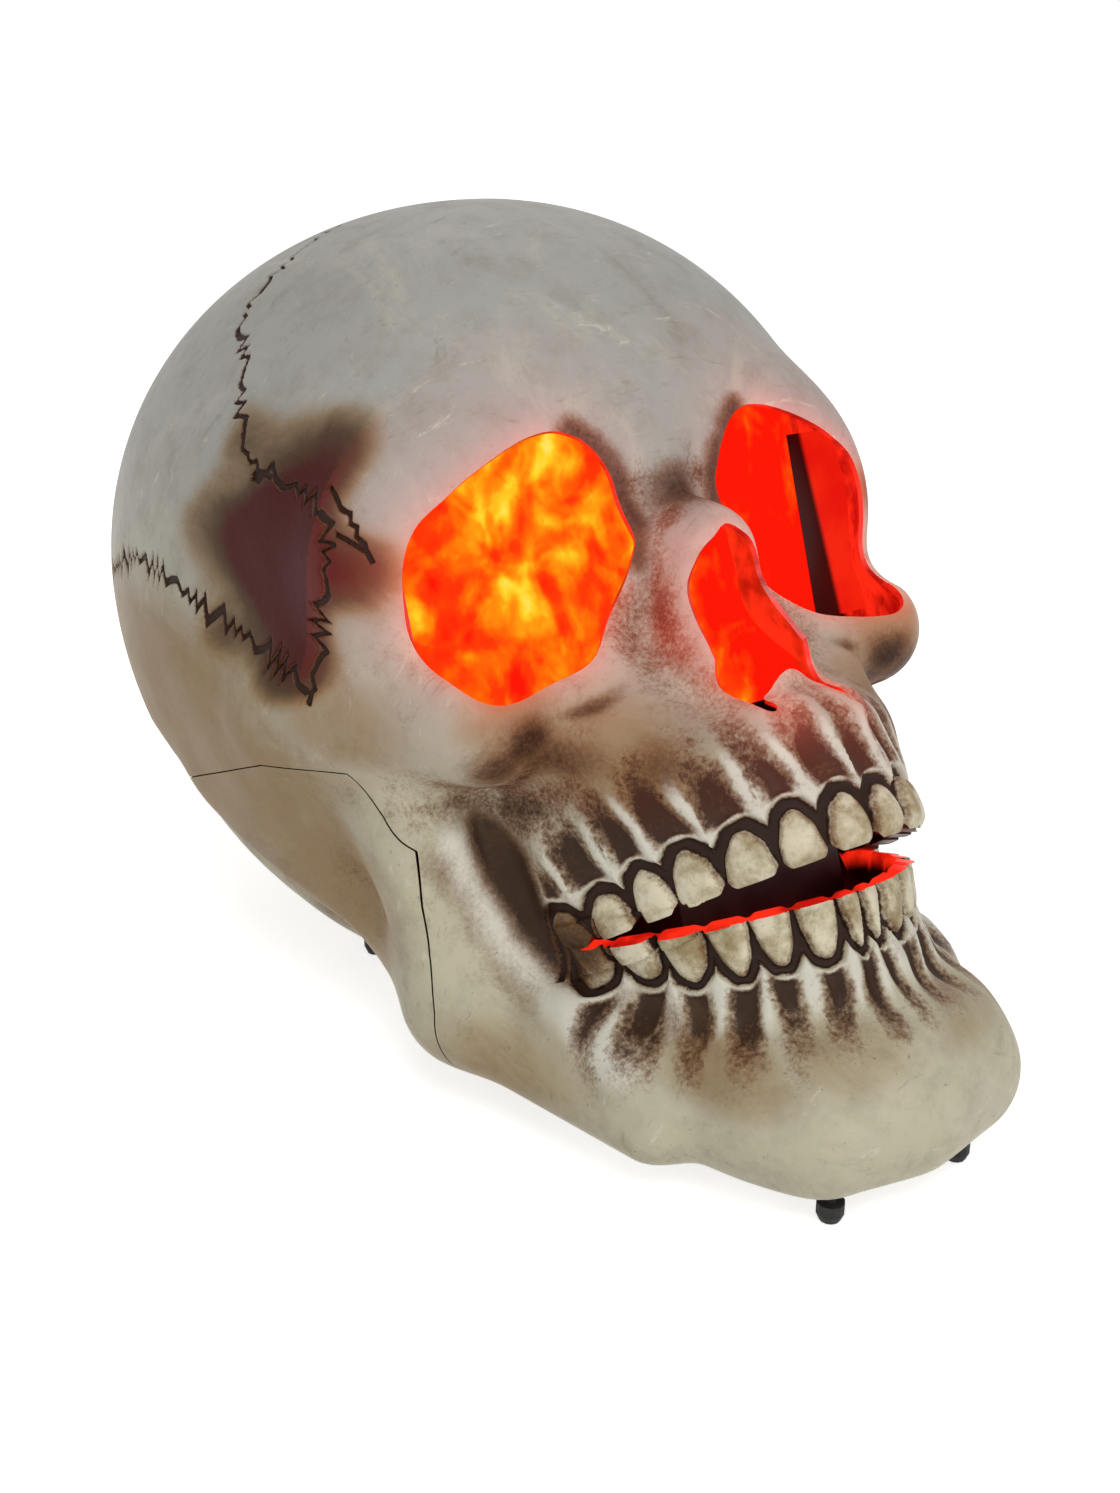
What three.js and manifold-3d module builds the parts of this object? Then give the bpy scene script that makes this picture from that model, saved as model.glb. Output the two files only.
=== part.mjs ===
// Light-up skull: a hollow, translucent, bone-coloured moulded shell that leans back on four rubber feet.
// Through its eyes, nose and mouth a curved screen shows a moving flame picture. A projector box in the
// lower jaw throws it: a motor turns a patterned wheel over a lamp, below a lens. A tray in the base holds
// four cells behind a hinged door, with a slide switch beside it.
// Millimetres, +Z up, the face towards -Y, the skull's left towards +X, the floor at z = 0.
import * as THREE from 'three';
import { mergeVertices } from 'three/addons/utils/BufferGeometryUtils.js';
import Module from 'manifold-3d';

const wasm = await Module();
wasm.setup();

// Sizes of the skull
const skullLength = 550;
const wall = 3;
const seatGap = 0.3;
const seamGap = 0.6;
const overrun = 60;
const aroundSteps = 54;
const acrossSteps = 28;
const roundSides = 16;
const footSides = 12;
const lensSides = 20;
const screwSides = 8;
const domeRows = 4;
const lampRings = 6;
const degree = Math.PI / 180;
const quarterTurn = Math.PI / 2;
const fullTurn = Math.PI * 2;
const half = 0.5;

// How finely the form is searched: steps along a ray, halvings of the last one, and the slope's step
const searchSteps = 40;
const searchHalvings = 24;
const slopeStepShare = 0.002;
const leastSlope = 0.000001;

// The skull's form, in shares of its length. Every entry is made on both sides of the middle plane.
const craniumShares = {
  centre: [0, 0.109, 0.351], side: 0.322, front: 0.291, rear: 0.404, up: 0.34, down: 0.367, squareness: 2.4,
};
const formShares = [
  { name: 'temple', cut: true, ball: [0.393, -0.011, 0.429], radii: [0.084, 0.109, 0.12], blend: 0.073 },
  { name: 'palate', ball: [0, -0.145, 0.196], radii: [0.18, 0.178, 0.156], lean: -16, blend: 0.055 },
  { name: 'orbit', ball: [0.156, -0.084, 0.444], radii: [0.109, 0.073, 0.109], lean: -18, turn: 10,
    blend: 0.04 },
  { name: 'noseBridge', limb: [[0, -0.113, 0.471], [0, -0.193, 0.449]],
    radii: [0.013, 0.02], blend: 0.029 },
  { name: 'nose', limb: [[0, -0.182, 0.447], [0, -0.238, 0.367]], radii: [0.025, 0.053], blend: 0.051 },
  { name: 'upperJaw', limb: [[0.113, -0.171, 0.338], [0.084, -0.247, 0.284]], radii: [0.051, 0.055],
    blend: 0.044 },
  { name: 'upperArch', plate: [0, -0.187, 0.189], lean: 36, radii: [0.109, 0.193], half: 0.036, round: 0.029,
    blend: 0.04 },
  { name: 'cheek', limb: [[0.2, -0.171, 0.34], [0.276, 0, 0.309]], radii: [0.049, 0.033], blend: 0.04 },
  { name: 'jawBody', limb: [[0.189, -0.131, 0.098], [0.102, -0.371, 0.076]], radii: [0.044, 0.049],
    blend: 0.033 },
  { name: 'jawEdge', limb: [[0.2, -0.153, 0.073], [0.155, -0.335, 0.055]], radii: [0.027, 0.025],
    blend: 0.04 },
  { name: 'ramusFront', limb: [[0.2, -0.145, 0.095], [0.225, -0.113, 0.236]], radii: [0.038, 0.04],
    blend: 0.051 },
  { name: 'ramusRear', limb: [[0.2, -0.073, 0.12], [0.24, 0.127, 0.215]], radii: [0.036, 0.044],
    blend: 0.04 },
  { name: 'chin', limb: [[0, -0.429, 0.076], [0.065, -0.42, 0.076]], radii: [0.062, 0.06], blend: 0.04 },
  { name: 'chinFront', limb: [[0, -0.345, 0.171], [0, -0.404, 0.098]], radii: [0.035, 0.062], blend: 0.047 },
  { name: 'chinSide', limb: [[0.062, -0.324, 0.153], [0.069, -0.378, 0.087]], radii: [0.029, 0.047],
    blend: 0.04 },
  { name: 'lowerArch', plate: [0, -0.225, 0.12], lean: 27, radii: [0.105, 0.156], half: 0.029, round: 0.027,
    blend: 0.033 },
  { name: 'dish', cut: true, ball: [0.145, -0.204, 0.455], radii: [0.08, 0.047, 0.073], lean: -20, turn: 14,
    blend: 0.025 },
  { name: 'valley', cut: true, limb: [[0.036, -0.175, 0.538], [0.033, -0.167, 0.495]],
    radii: [0.033, 0.022], blend: 0.025 },
  { name: 'hollow', cut: true, limb: [[0.207, -0.193, 0.218], [0.195, -0.225, 0.149]], radii: [0.016, 0.015],
    blend: 0.025 },
  { name: 'crease', cut: true, limb: [[0.305, 0.236, 0.153], [0.236, 0, 0.08]], radii: [0.051, 0.036],
    blend: 0.033 },
];
const underBlendShare = 0.022;
const heartShares = { middle: [0, -0.091, 0.245], axis: [0, -0.895, -0.447], reach: 0.182 };

// Openings, as shares of the skull's length: eye and nose seen from the front, mouth seen from the side
const eyeShares = [
  [0.227, 0.476], [0.202, 0.5], [0.165, 0.524], [0.124, 0.538], [0.091, 0.538], [0.064, 0.529],
  [0.042, 0.511], [0.036, 0.489], [0.047, 0.462], [0.056, 0.444], [0.075, 0.407], [0.1, 0.378],
  [0.131, 0.365], [0.164, 0.362], [0.196, 0.362], [0.224, 0.375], [0.236, 0.393], [0.24, 0.409],
  [0.238, 0.427], [0.236, 0.449],
];
const noseShares = [
  [0, 0.471], [0.013, 0.463], [0.026, 0.452], [0.037, 0.432], [0.042, 0.411], [0.046, 0.393],
  [0.05, 0.379], [0.048, 0.364], [0.042, 0.357], [0.033, 0.357], [0.02, 0.363], [0.01, 0.372], [0, 0.376],
];
const mouthShares = [[-0.24, 0.165], [-0.56, 0.395], [-0.56, 0.31]];
const mouthHalfWidthShare = 0.19;
const eyeDepthShare = -0.02;
const noseDepthShare = -0.12;
const seamShares = [
  [0.62, -0.1], [0.62, 0.11], [0.236, 0.173], [0.12, 0.222], [-0.014, 0.277], [-0.096, 0.289],
  [-0.15, 0.236], [-0.16, 0.15], [-0.175, 0.05], [-0.175, -0.1],
];
const seamTop = { first: 1, last: 6 };

// Teeth: the middles of one side's crowns from the front to the rear, and how far each arch leans back
const upperTeethShares = [
  [0.015, -0.378, 0.293], [0.044, -0.358, 0.28], [0.073, -0.342, 0.262], [0.098, -0.313, 0.244],
  [0.113, -0.289, 0.225], [0.127, -0.26, 0.205], [0.136, -0.222, 0.18],
];
const lowerTeethShares = [
  [0.015, -0.407, 0.222], [0.044, -0.393, 0.211], [0.073, -0.375, 0.202], [0.098, -0.355, 0.193],
  [0.113, -0.322, 0.175], [0.127, -0.293, 0.16], [0.136, -0.253, 0.144],
];
const upperLean = 36 * degree;
const lowerLean = 27 * degree;
const toothShares = { rise: 0.022, depth: 0.0127, sink: 0.0036, start: 0.07, width: 0.46 };
const toothSides = 6;
const toothRings = 4;

// Feet, with the moulded pads they plug into
const foot = { height: 9, radius: 6, flatRadius: 4.5, bulge: 3.5, stemRadius: 2.4, stemLength: 6 };
const pad = { radius: 8, height: 14 };
const frontFootShares = [0.067, -0.44];
const rearFootShares = [0.14, 0.116];

// Lugs and screws that hold the two shells together
const lug = { halfWidth: 8, halfHeight: 8, depth: 30 };
const lugShares = [0.036, 0.273];
const screw = { radius: 1.6, headRadius: 3.2, headHeight: 2.4 };
const screwLength = lug.halfHeight * 2 - wall;

// Screen and the rails that carry its edges
const screenShares = {
  halfWidth: 0.2145, height: 0.278, bulge: 0.04, y: -0.12, z: 0.277, railHeight: 0.1673,
};
const screen = {
  halfWidth: screenShares.halfWidth * skullLength,
  height: screenShares.height * skullLength,
  bulge: screenShares.bulge * skullLength,
  y: screenShares.y * skullLength,
  z: screenShares.z * skullLength,
  thickness: 1.2, lean: 18.3 * degree, sides: 12,
};
const rail = { thickness: 6, grip: 5, height: screenShares.railHeight * skullLength };

// Projector: everything in it is placed from the middle of its box's underside, then leaned back
const projectorShares = { y: -0.24, z: 0.1036 };
const projector = {
  y: projectorShares.y * skullLength, z: projectorShares.z * skullLength, lean: 20 * degree,
};
const box = { width: 92, depth: 70, height: 58, wall: 2.5 };
const lid = { thickness: 3, lip: 3, lipWall: 1.6 };
const lamp = { radius: 4, height: 7 };
const board = { width: 30, depth: 24, thickness: 1.6 };
const sink = { width: 30, depth: 24, height: 9, fins: 5, web: 2.5 };
const wheelPlaceShares = { x: -0.1087, y: 0.0429 };
const wheelRoom = 4.2;
const gearShares = { root: 0.27, tip: 0.13, fall: 1, rise: 0.85 };
const wheelTeeth = 36;
const wheelX = wheelPlaceShares.x * box.width;
const wheelReach = Math.min(box.depth * half, box.width * half + wheelX) - box.wall - wheelRoom;
const wheel = {
  teeth: wheelTeeth, module: wheelReach / (wheelTeeth * half + gearShares.rise),
  x: wheelX, y: wheelPlaceShares.y * box.depth, z: 30,
  thickness: 2, hubRadius: 4, hubHeight: 6, windows: 5,
};
const lensShare = 0.63;
const lens = {
  radius: 15, seatRadius: 13, edge: 2, crown: 4,
  x: wheel.x, y: wheel.y - lensShare * wheel.teeth * wheel.module * half,
};
const pinion = { teeth: 9, height: 5 };
const axle = { radius: 1.5, postRadius: 4 };
const motor = { radius: 10, height: 20, shaftRadius: 1, shaftRise: 10.5 };
const stand = { width: 64, depth: 44, drop: 60, leg: 8 };
const gearBacklash = 0.5;

// Base: cell tray, door, switch and control board
const cell = { radius: 7.2, length: 50, capRadius: 2.7, capHeight: 1.2, pitch: 15, count: 4 };
const trayShare = 0.1345;
const tray = { wall: 2.2, y: trayShare * skullLength };
const contact = { thickness: 0.6 };
const hatch = { rim: 5, height: 6 };
const door = { thickness: 2.4, barrel: 1.9, pin: 1.2, pinLength: 3, notch: 7 };
const sliderRoom = 3.5;
const sliderAhead = 12;
const slider = {
  width: 12, length: 24, height: 9, knobWidth: 5, knobLength: 6, travel: 5, knobDrop: 2.5,
  y: tray.y - sliderAhead,
};
const control = { width: 44, depth: 34, thickness: 1.6, chip: 9, chipHeight: 1.8 };

// Colours
const colours = {
  bone: 0xb9ad98, flame: 0xff5a14, black: 0x151515, rubber: 0x0c0c0c, steel: 0x9a9ca0, lens: 0xdfe6ea,
  board: 0x1f5a34, lamp: 0xfff0c0, alloy: 0xb8bcc0, cell: 0x3a3d42, brass: 0xb08d57, white: 0xd8d5cc,
};

function material(colour, roughness, metalness = 0) {
  return new THREE.MeshStandardMaterial({ color: colour, roughness, metalness });
}

const bone = material(colours.bone, 0.45);
const blackPlastic = material(colours.black, 0.5);
const steel = material(colours.steel, 0.35, 1);

// Solids: geometry in and out of manifold-3d, and its booleans
function solidOf(geometry) {
  const bare = geometry.clone();
  bare.deleteAttribute('normal');
  bare.deleteAttribute('uv');
  const joined = mergeVertices(bare);
  const vertProperties = new Float32Array(joined.attributes.position.array);
  const triVerts = new Uint32Array(joined.index.array);
  return new wasm.Manifold(new wasm.Mesh({ numProp: 3, vertProperties, triVerts }));
}

function geometryOf(solid) {
  const mesh = solid.getMesh();
  const geometry = new THREE.BufferGeometry();
  geometry.setAttribute('position', new THREE.BufferAttribute(mesh.vertProperties, 3));
  geometry.setIndex(new THREE.BufferAttribute(mesh.triVerts, 1));
  geometry.computeVertexNormals();
  return geometry;
}

function joined(...solids) {
  return solids.reduce((sum, next) => sum.add(next));
}

function cutBy(solid, ...tools) {
  return tools.reduce((left, tool) => left.subtract(tool), solid);
}

function block(x0, x1, y0, y1, z0, z1) {
  const geometry = new THREE.BoxGeometry(x1 - x0, y1 - y0, z1 - z0);
  geometry.translate((x0 + x1) * half, (y0 + y1) * half, (z0 + z1) * half);
  return solidOf(geometry);
}

function post(radius, z0, z1, x = 0, y = 0, topRadius = radius, sides = roundSides) {
  const geometry = new THREE.CylinderGeometry(topRadius, radius, z1 - z0, sides);
  geometry.rotateX(quarterTurn);
  geometry.translate(x, y, (z0 + z1) * half);
  return solidOf(geometry);
}

function prism(points, depth) {
  const shape = new THREE.Shape(points.map(([x, y]) => new THREE.Vector2(x, y)));
  return new THREE.ExtrudeGeometry(shape, { depth, bevelEnabled: false });
}

// A prism whose outline is given in x and z, reaching from y0 back to y1
function frontPrism(points, y0, y1) {
  const geometry = prism(points, y1 - y0);
  geometry.rotateX(quarterTurn);
  geometry.translate(0, y1, 0);
  return solidOf(geometry);
}

// A prism whose outline is given in y and z, as wide as twice halfWidth
function sidePrism(points, halfWidth) {
  const geometry = prism(points, halfWidth + halfWidth);
  geometry.rotateY(quarterTurn);
  geometry.rotateX(quarterTurn);
  geometry.translate(-halfWidth, 0, 0);
  return solidOf(geometry);
}

function scaled(shares) {
  return shares.map((point) => point.map((share) => share * skullLength));
}

function mirrored(points) {
  return points.map(([x, ...rest]) => [-x, ...rest]).reverse();
}

// The skull's form: a signed distance, negative inside, made of rounded pieces blended together
function blend(a, b, width) {
  const overlap = Math.max(width - Math.abs(a - b), 0) / width;
  return Math.min(a, b) - overlap * overlap * width / 4;
}

function ballDistance(p, shape) {
  const turn = (shape.turn ?? 0) * degree;
  const lean = (shape.lean ?? 0) * degree;
  const dx = p[0] - shape.ball[0];
  const dy = p[1] - shape.ball[1];
  const dz = p[2] - shape.ball[2];
  const tx = dx * Math.cos(turn) + dy * Math.sin(turn);
  const ty = dy * Math.cos(turn) - dx * Math.sin(turn);
  const local = [tx, ty * Math.cos(lean) + dz * Math.sin(lean), dz * Math.cos(lean) - ty * Math.sin(lean)];
  const near = Math.hypot(...local.map((value, i) => value / shape.radii[i]));
  const slope = Math.hypot(...local.map((value, i) => value / shape.radii[i] ** 2));
  return near * (near - 1) / Math.max(slope, leastSlope);
}

function limbDistance(p, shape) {
  const [a, b] = shape.limb;
  const along = b.map((value, i) => value - a[i]);
  const from = p.map((value, i) => value - a[i]);
  const dot = from[0] * along[0] + from[1] * along[1] + from[2] * along[2];
  const share = THREE.MathUtils.clamp(dot / Math.hypot(...along) ** 2, 0, 1);
  const radius = THREE.MathUtils.lerp(shape.radii[0], shape.radii[1], share);
  return Math.hypot(...from.map((value, i) => value - along[i] * share)) - radius;
}

function plateDistance(p, shape) {
  const lean = shape.lean * degree;
  const dy = p[1] - shape.plate[1];
  const dz = p[2] - shape.plate[2];
  const forward = dz * Math.sin(lean) - dy * Math.cos(lean);
  const up = dy * Math.sin(lean) + dz * Math.cos(lean);
  const near = Math.hypot(p[0] / shape.radii[0], forward / shape.radii[1]);
  const slope = Math.hypot(p[0] / shape.radii[0] ** 2, forward / shape.radii[1] ** 2);
  const rim = Math.max(near * (near - 1) / Math.max(slope, leastSlope), 0);
  return Math.hypot(rim, Math.max(Math.abs(up) - shape.half, 0)) - shape.round;
}

function craniumDistance(p) {
  const { centre, side, front, rear, up, down, squareness } = craniumShares;
  const dy = p[1] - centre[1];
  const dz = p[2] - centre[2];
  const long = Math.abs(dy / (dy < 0 ? front : rear)) ** squareness;
  const wide = Math.abs(p[0] / side) ** squareness;
  const level = (wide + long) ** (1 / squareness);
  return (Math.hypot(level, dz / (dz < 0 ? down : up)) - 1) * side;
}

function formDistance(x, y, z) {
  const p = [Math.abs(x), y, z];
  let distance = craniumDistance(p);
  for (const shape of formShares) {
    const kind = shape.ball ? ballDistance : shape.limb ? limbDistance : plateDistance;
    const next = kind(p, shape);
    distance = shape.cut ? -blend(-distance, next, shape.blend) : blend(distance, next, shape.blend);
  }
  const under = foot.height / skullLength - z;
  return -blend(-distance, -under, underBlendShare);
}

// The outermost point of the form on the ray from start along direction, both in shares
function surfaceOn(start, direction) {
  const at = (reach) => formDistance(...start.map((value, i) => value + direction[i] * reach));
    let inside = 0;
  for (let step = 1; step <= searchSteps; step += 1) {
    if (at(step / searchSteps) < 0) inside = step / searchSteps;
  }
  let outside = inside + 1 / searchSteps;
  for (let round = 0; round < searchHalvings; round += 1) {
    const middle = (inside + outside) * half;
    if (at(middle) < 0) inside = middle;
    else outside = middle;
  }
  return start.map((value, i) => value + direction[i] * inside);
}

function normalAt([x, y, z]) {
  const step = slopeStepShare;
  const normal = [
    formDistance(x + step, y, z) - formDistance(x - step, y, z),
    formDistance(x, y + step, z) - formDistance(x, y - step, z),
    formDistance(x, y, z + step) - formDistance(x, y, z - step),
  ];
  const length = Math.hypot(...normal);
  return normal.map((value) => value / length);
}

// A ray leaves the skull's heart line, which runs from the back of the head to the chin
function formPoint(around, across) {
  const { middle, axis, reach } = heartShares;
  const flat = Math.cos(across);
  const direction = [Math.sin(across), -Math.cos(around) * flat, Math.sin(around) * flat];
  const shift = (direction[1] * axis[1] + direction[2] * axis[2]) * reach;
  const start = middle.map((value, i) => value + axis[i] * shift);
  return surfaceOn(start, direction);
}

const formGrid = makeFormGrid();

function makeFormGrid() {
  const points = [];
  for (let i = 0; i < aroundSteps; i += 1) {
    const around = i / aroundSteps * fullTurn;
    for (let j = 1; j < acrossSteps; j += 1) {
      const across = (j / acrossSteps - half) * fullTurn * half;
      points.push(formPoint(around, across));
    }
  }
  points.push(formPoint(0, -quarterTurn));
  points.push(formPoint(0, quarterTurn));
  return points.map((point) => ({ point, normal: normalAt(point) }));
}

// The skull as a closed solid, drawn in from its outer face by depth
function skullSolid(depth) {
  const positions = formGrid.flatMap(({ point, normal }) =>
    point.map((value, i) => value * skullLength - normal[i] * depth));
  const rows = acrossSteps - 1;
  const rightPole = aroundSteps * rows;
  const leftPole = rightPole + 1;
  const faces = [];
  for (let i = 0; i < aroundSteps; i += 1) {
    const here = i * rows;
    const next = (i + 1) % aroundSteps * rows;
    faces.push(rightPole, here, next);
    faces.push(leftPole, next + rows - 1, here + rows - 1);
    for (let j = 0; j < rows - 1; j += 1) {
      faces.push(here + j, here + j + 1, next + j + 1);
      faces.push(here + j, next + j + 1, next + j);
    }
  }
  const geometry = new THREE.BufferGeometry();
  geometry.setAttribute('position', new THREE.Float32BufferAttribute(positions, 3));
  geometry.setIndex(faces);
  return solidOf(geometry);
}

// Teeth stand on the outer face, each a rounded lump that faces out of its arch
function toothSolids(sideShares, lean) {
  const row = [...mirrored(sideShares), ...sideShares];
  const up = new THREE.Vector3(0, Math.sin(lean), Math.cos(lean));
  const middle = (i) => new THREE.Vector3().fromArray(row[THREE.MathUtils.clamp(i, 0, row.length - 1)]);
  return row.map((_, i) => {
    const across = middle(i + 1).sub(middle(i - 1));
    const neighbours = i === 0 || i === row.length - 1 ? 1 : 2;
    const width = across.length() / neighbours * toothShares.width;
    across.normalize();
    const out = new THREE.Vector3().crossVectors(across, up).normalize();
    const start = middle(i).addScaledVector(out, -toothShares.start);
    const face = new THREE.Vector3().fromArray(surfaceOn(start.toArray(), out.toArray()));
    const geometry = new THREE.SphereGeometry(1, toothSides, toothRings);
    geometry.rotateX(quarterTurn);
    const matrix = new THREE.Matrix4().makeBasis(
      across.multiplyScalar(width * skullLength),
      out.clone().multiplyScalar(-toothShares.depth * skullLength),
      up.clone().multiplyScalar(toothShares.rise * skullLength));
    matrix.setPosition(face.addScaledVector(out, -toothShares.sink).multiplyScalar(skullLength));
    geometry.applyMatrix4(matrix);
    return solidOf(geometry);
  });
}

// Shells: teeth and pads join the outer form, then the hollow, openings and seam are cut
const outerForm = skullSolid(0);
const innerForm = skullSolid(wall);
const seatForm = skullSolid(wall + seatGap);
const floorTop = foot.height + wall;

function openings() {
  const eye = scaled(eyeShares);
  const nose = scaled(noseShares);
  const noseOutline = [...nose, ...mirrored(nose).slice(1, -1)];
  const front = -skullLength;
  return joined(
    frontPrism(eye, front, eyeDepthShare * skullLength),
    frontPrism(mirrored(eye), front, eyeDepthShare * skullLength),
    frontPrism(noseOutline, front, noseDepthShare * skullLength),
    sidePrism(scaled(mouthShares), mouthHalfWidthShare * skullLength),
  );
}

function footPlaces() {
  const [[frontX, frontY], [rearX, rearY]] = scaled([frontFootShares, rearFootShares]);
  return [
    ['right', 'front', -frontX, frontY], ['left', 'front', frontX, frontY],
    ['right', 'rear', -rearX, rearY], ['left', 'rear', rearX, rearY],
  ];
}

function pads() {
  const top = foot.height + pad.height;
  return joined(...footPlaces().map(([, , x, y]) =>
    post(pad.radius, foot.height, top, x, y, pad.radius, footSides)));
}

function padBores() {
  const radius = foot.stemRadius + seatGap;
  return joined(...footPlaces().map(([, , x, y]) =>
    post(radius, foot.height - overrun, foot.height + foot.stemLength + seatGap, x, y, radius, footSides)));
}

// Where the wall's outer face lies to the side, at a place seen from the side
function sideAt(y, z) {
  return surfaceOn([0, y / skullLength, z / skullLength], [1, 0, 0])[0] * skullLength;
}

function seamHeight(y) {
  const line = scaled(seamShares.slice(seamTop.first, seamTop.last));
  const after = line.findIndex(([lineY]) => lineY < y);
  const [y0, z0] = line[after - 1];
  const [y1, z1] = line[after];
  return z0 + (z1 - z0) * (y - y0) / (y1 - y0);
}

function lugFrames() {
  return lugShares.flatMap((share) => {
    const y = share * skullLength;
    const z = seamHeight(y);
    const side = sideAt(y, z);
    return [-1, 1].map((sign) => ({ sign, y, z, x: sign * (side - wall - lug.depth * half) }));
  });
}

function lugs() {
  const solids = lugFrames().map(({ sign, x, y, z }) => {
    const inner = x - sign * lug.depth * half;
    const outer = x + sign * overrun;
    return block(Math.min(inner, outer), Math.max(inner, outer),
      y - lug.halfWidth, y + lug.halfWidth, z - lug.halfHeight, z + lug.halfHeight);
  });
  return joined(...solids).intersect(skullSolid(wall * half));
}

function screwBores() {
  const radius = screw.radius + seatGap;
  return joined(...lugFrames().map(({ x, y, z }) =>
    post(radius, z - lug.halfHeight - wall, z + lug.halfHeight - wall, x, y, radius, screwSides)));
}

// Battery hatch in the base: a raised rim with the door's opening and its pin bores
const trayInside = {
  halfWidth: cell.pitch * cell.count * half + seatGap,
  halfLength: (cell.length + cell.capHeight) * half + contact.thickness + seatGap * 2,
};
const doorEdge = {
  x: trayInside.halfWidth - seatGap,
  front: tray.y - trayInside.halfLength + seatGap,
  axisY: tray.y + trayInside.halfLength - door.barrel - seatGap,
  axisZ: foot.height + seatGap + door.barrel,
};

// The switch stands beside the cell tray
slider.x = trayInside.halfWidth + tray.wall + sliderRoom + slider.width * half;

function hatchRim() {
  const { halfWidth, halfLength } = trayInside;
  const x = halfWidth + hatch.rim;
  const y = halfLength + hatch.rim;
  return block(-x, x, tray.y - y, tray.y + y, foot.height, foot.height + hatch.height);
}

function hatchOpening() {
  const { halfWidth, halfLength } = trayInside;
  return block(-halfWidth, halfWidth, tray.y - halfLength, tray.y + halfLength,
    foot.height - overrun, foot.height + overrun);
}

function alongX(solidLength, radius, y, z) {
  const geometry = new THREE.CylinderGeometry(radius, radius, solidLength, roundSides);
  geometry.rotateZ(quarterTurn);
  geometry.translate(0, y, z);
  return solidOf(geometry);
}

function doorPinBore() {
  const reach = (doorEdge.x + door.pinLength + seatGap) * 2;
  return alongX(reach, door.pin + seatGap, doorEdge.axisY, doorEdge.axisZ);
}

function sliderSlot() {
  const x = slider.knobWidth * half + seatGap;
  const y0 = slider.y - slider.knobLength * half - seatGap;
  const y1 = slider.y + slider.knobLength * half + slider.travel + seatGap;
  return block(slider.x - x, slider.x + x, y0, y1, foot.height - overrun, foot.height + overrun);
}

function shells() {
  const below = sidePrism(scaled(seamShares), skullLength);
  const skin = joined(outerForm, ...toothSolids(upperTeethShares, upperLean),
    ...toothSolids(lowerTeethShares, lowerLean), pads());
  const hollow = cutBy(skin, innerForm.subtract(pads()), openings());
  const whole = cutBy(hollow.add(lugs()), screwBores(), padBores());
  const base = cutBy(whole.intersect(below).add(hatchRim().intersect(outerForm)),
    hatchOpening(), doorPinBore(), sliderSlot());
  const face = whole.subtract(below.translate([0, -seamGap, seamGap]));
  return { base, face };
}

// The largest piece of a solid that a cut has left in several
function mainPiece(solid) {
  return solid.decompose().sort((a, b) => b.volume() - a.volume())[0];
}

const part = new THREE.Group();

function addMesh(name, solid, meshMaterial, parent = part) {
  const mesh = new THREE.Mesh(geometryOf(solid), meshMaterial);
  mesh.name = name;
  parent.add(mesh);
  return mesh;
}

// Feet: soft domes whose stems plug into the pads
function footSolid(x, y) {
  const top = foot.height - seatGap;
  const profile = [
    [0, 0], [foot.flatRadius, 0], [foot.radius, foot.bulge], [foot.radius, top],
    [foot.stemRadius, top], [foot.stemRadius, top + foot.stemLength], [0, top + foot.stemLength],
  ];
  const geometry = new THREE.LatheGeometry(profile.map(([r, z]) => new THREE.Vector2(r, z)), footSides);
  geometry.rotateX(quarterTurn);
  geometry.translate(x, y, 0);
  return solidOf(geometry);
}

function addFeet() {
  const rubber = material(colours.rubber, 0.8);
  for (const [side, end, x, y] of footPlaces()) addMesh(`${end}_foot_${side}`, footSolid(x, y), rubber);
}

function addShells() {
  const { base, face } = shells();
  addMesh('face_shell', mainPiece(face), bone);
  addMesh('base_shell', mainPiece(base), bone);
}

function addShellScrews() {
  const names = ['shell_screw_1', 'shell_screw_2', 'shell_screw_3', 'shell_screw_4'];
  lugFrames().forEach(({ x, y, z }, i) => {
    const top = z - lug.halfHeight - seatGap;
    const head = post(screw.headRadius, top - screw.headHeight, top, x, y, screw.headRadius, screwSides);
    const shank = post(screw.radius, top, top + screwLength, x, y, screw.radius, screwSides);
    addMesh(names[i], head.add(shank), steel);
  });
}

// Screen: a thin sheet bowed towards the face, its side edges held in slotted rails
function bowedSheet(thickness, halfWidth, height, offset) {
  const radius = (screen.halfWidth ** 2 + screen.bulge ** 2) / (2 * screen.bulge);
  const spread = Math.asin(halfWidth / radius);
  const centreY = radius - screen.bulge;
  const arc = (r) => Array.from({ length: screen.sides + 1 }, (_, i) => {
    const angle = (i / screen.sides * 2 - 1) * spread;
    return [r * Math.sin(angle), -r * Math.cos(angle) + centreY];
  });
  const thick = thickness * half + offset;
  return prism([...arc(radius + thick), ...arc(radius - thick).reverse()], height);
}

function leaned(geometry, z) {
  geometry.translate(0, 0, z);
  geometry.rotateX(-screen.lean);
  geometry.translate(0, screen.y, screen.z);
  return solidOf(geometry);
}

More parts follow.
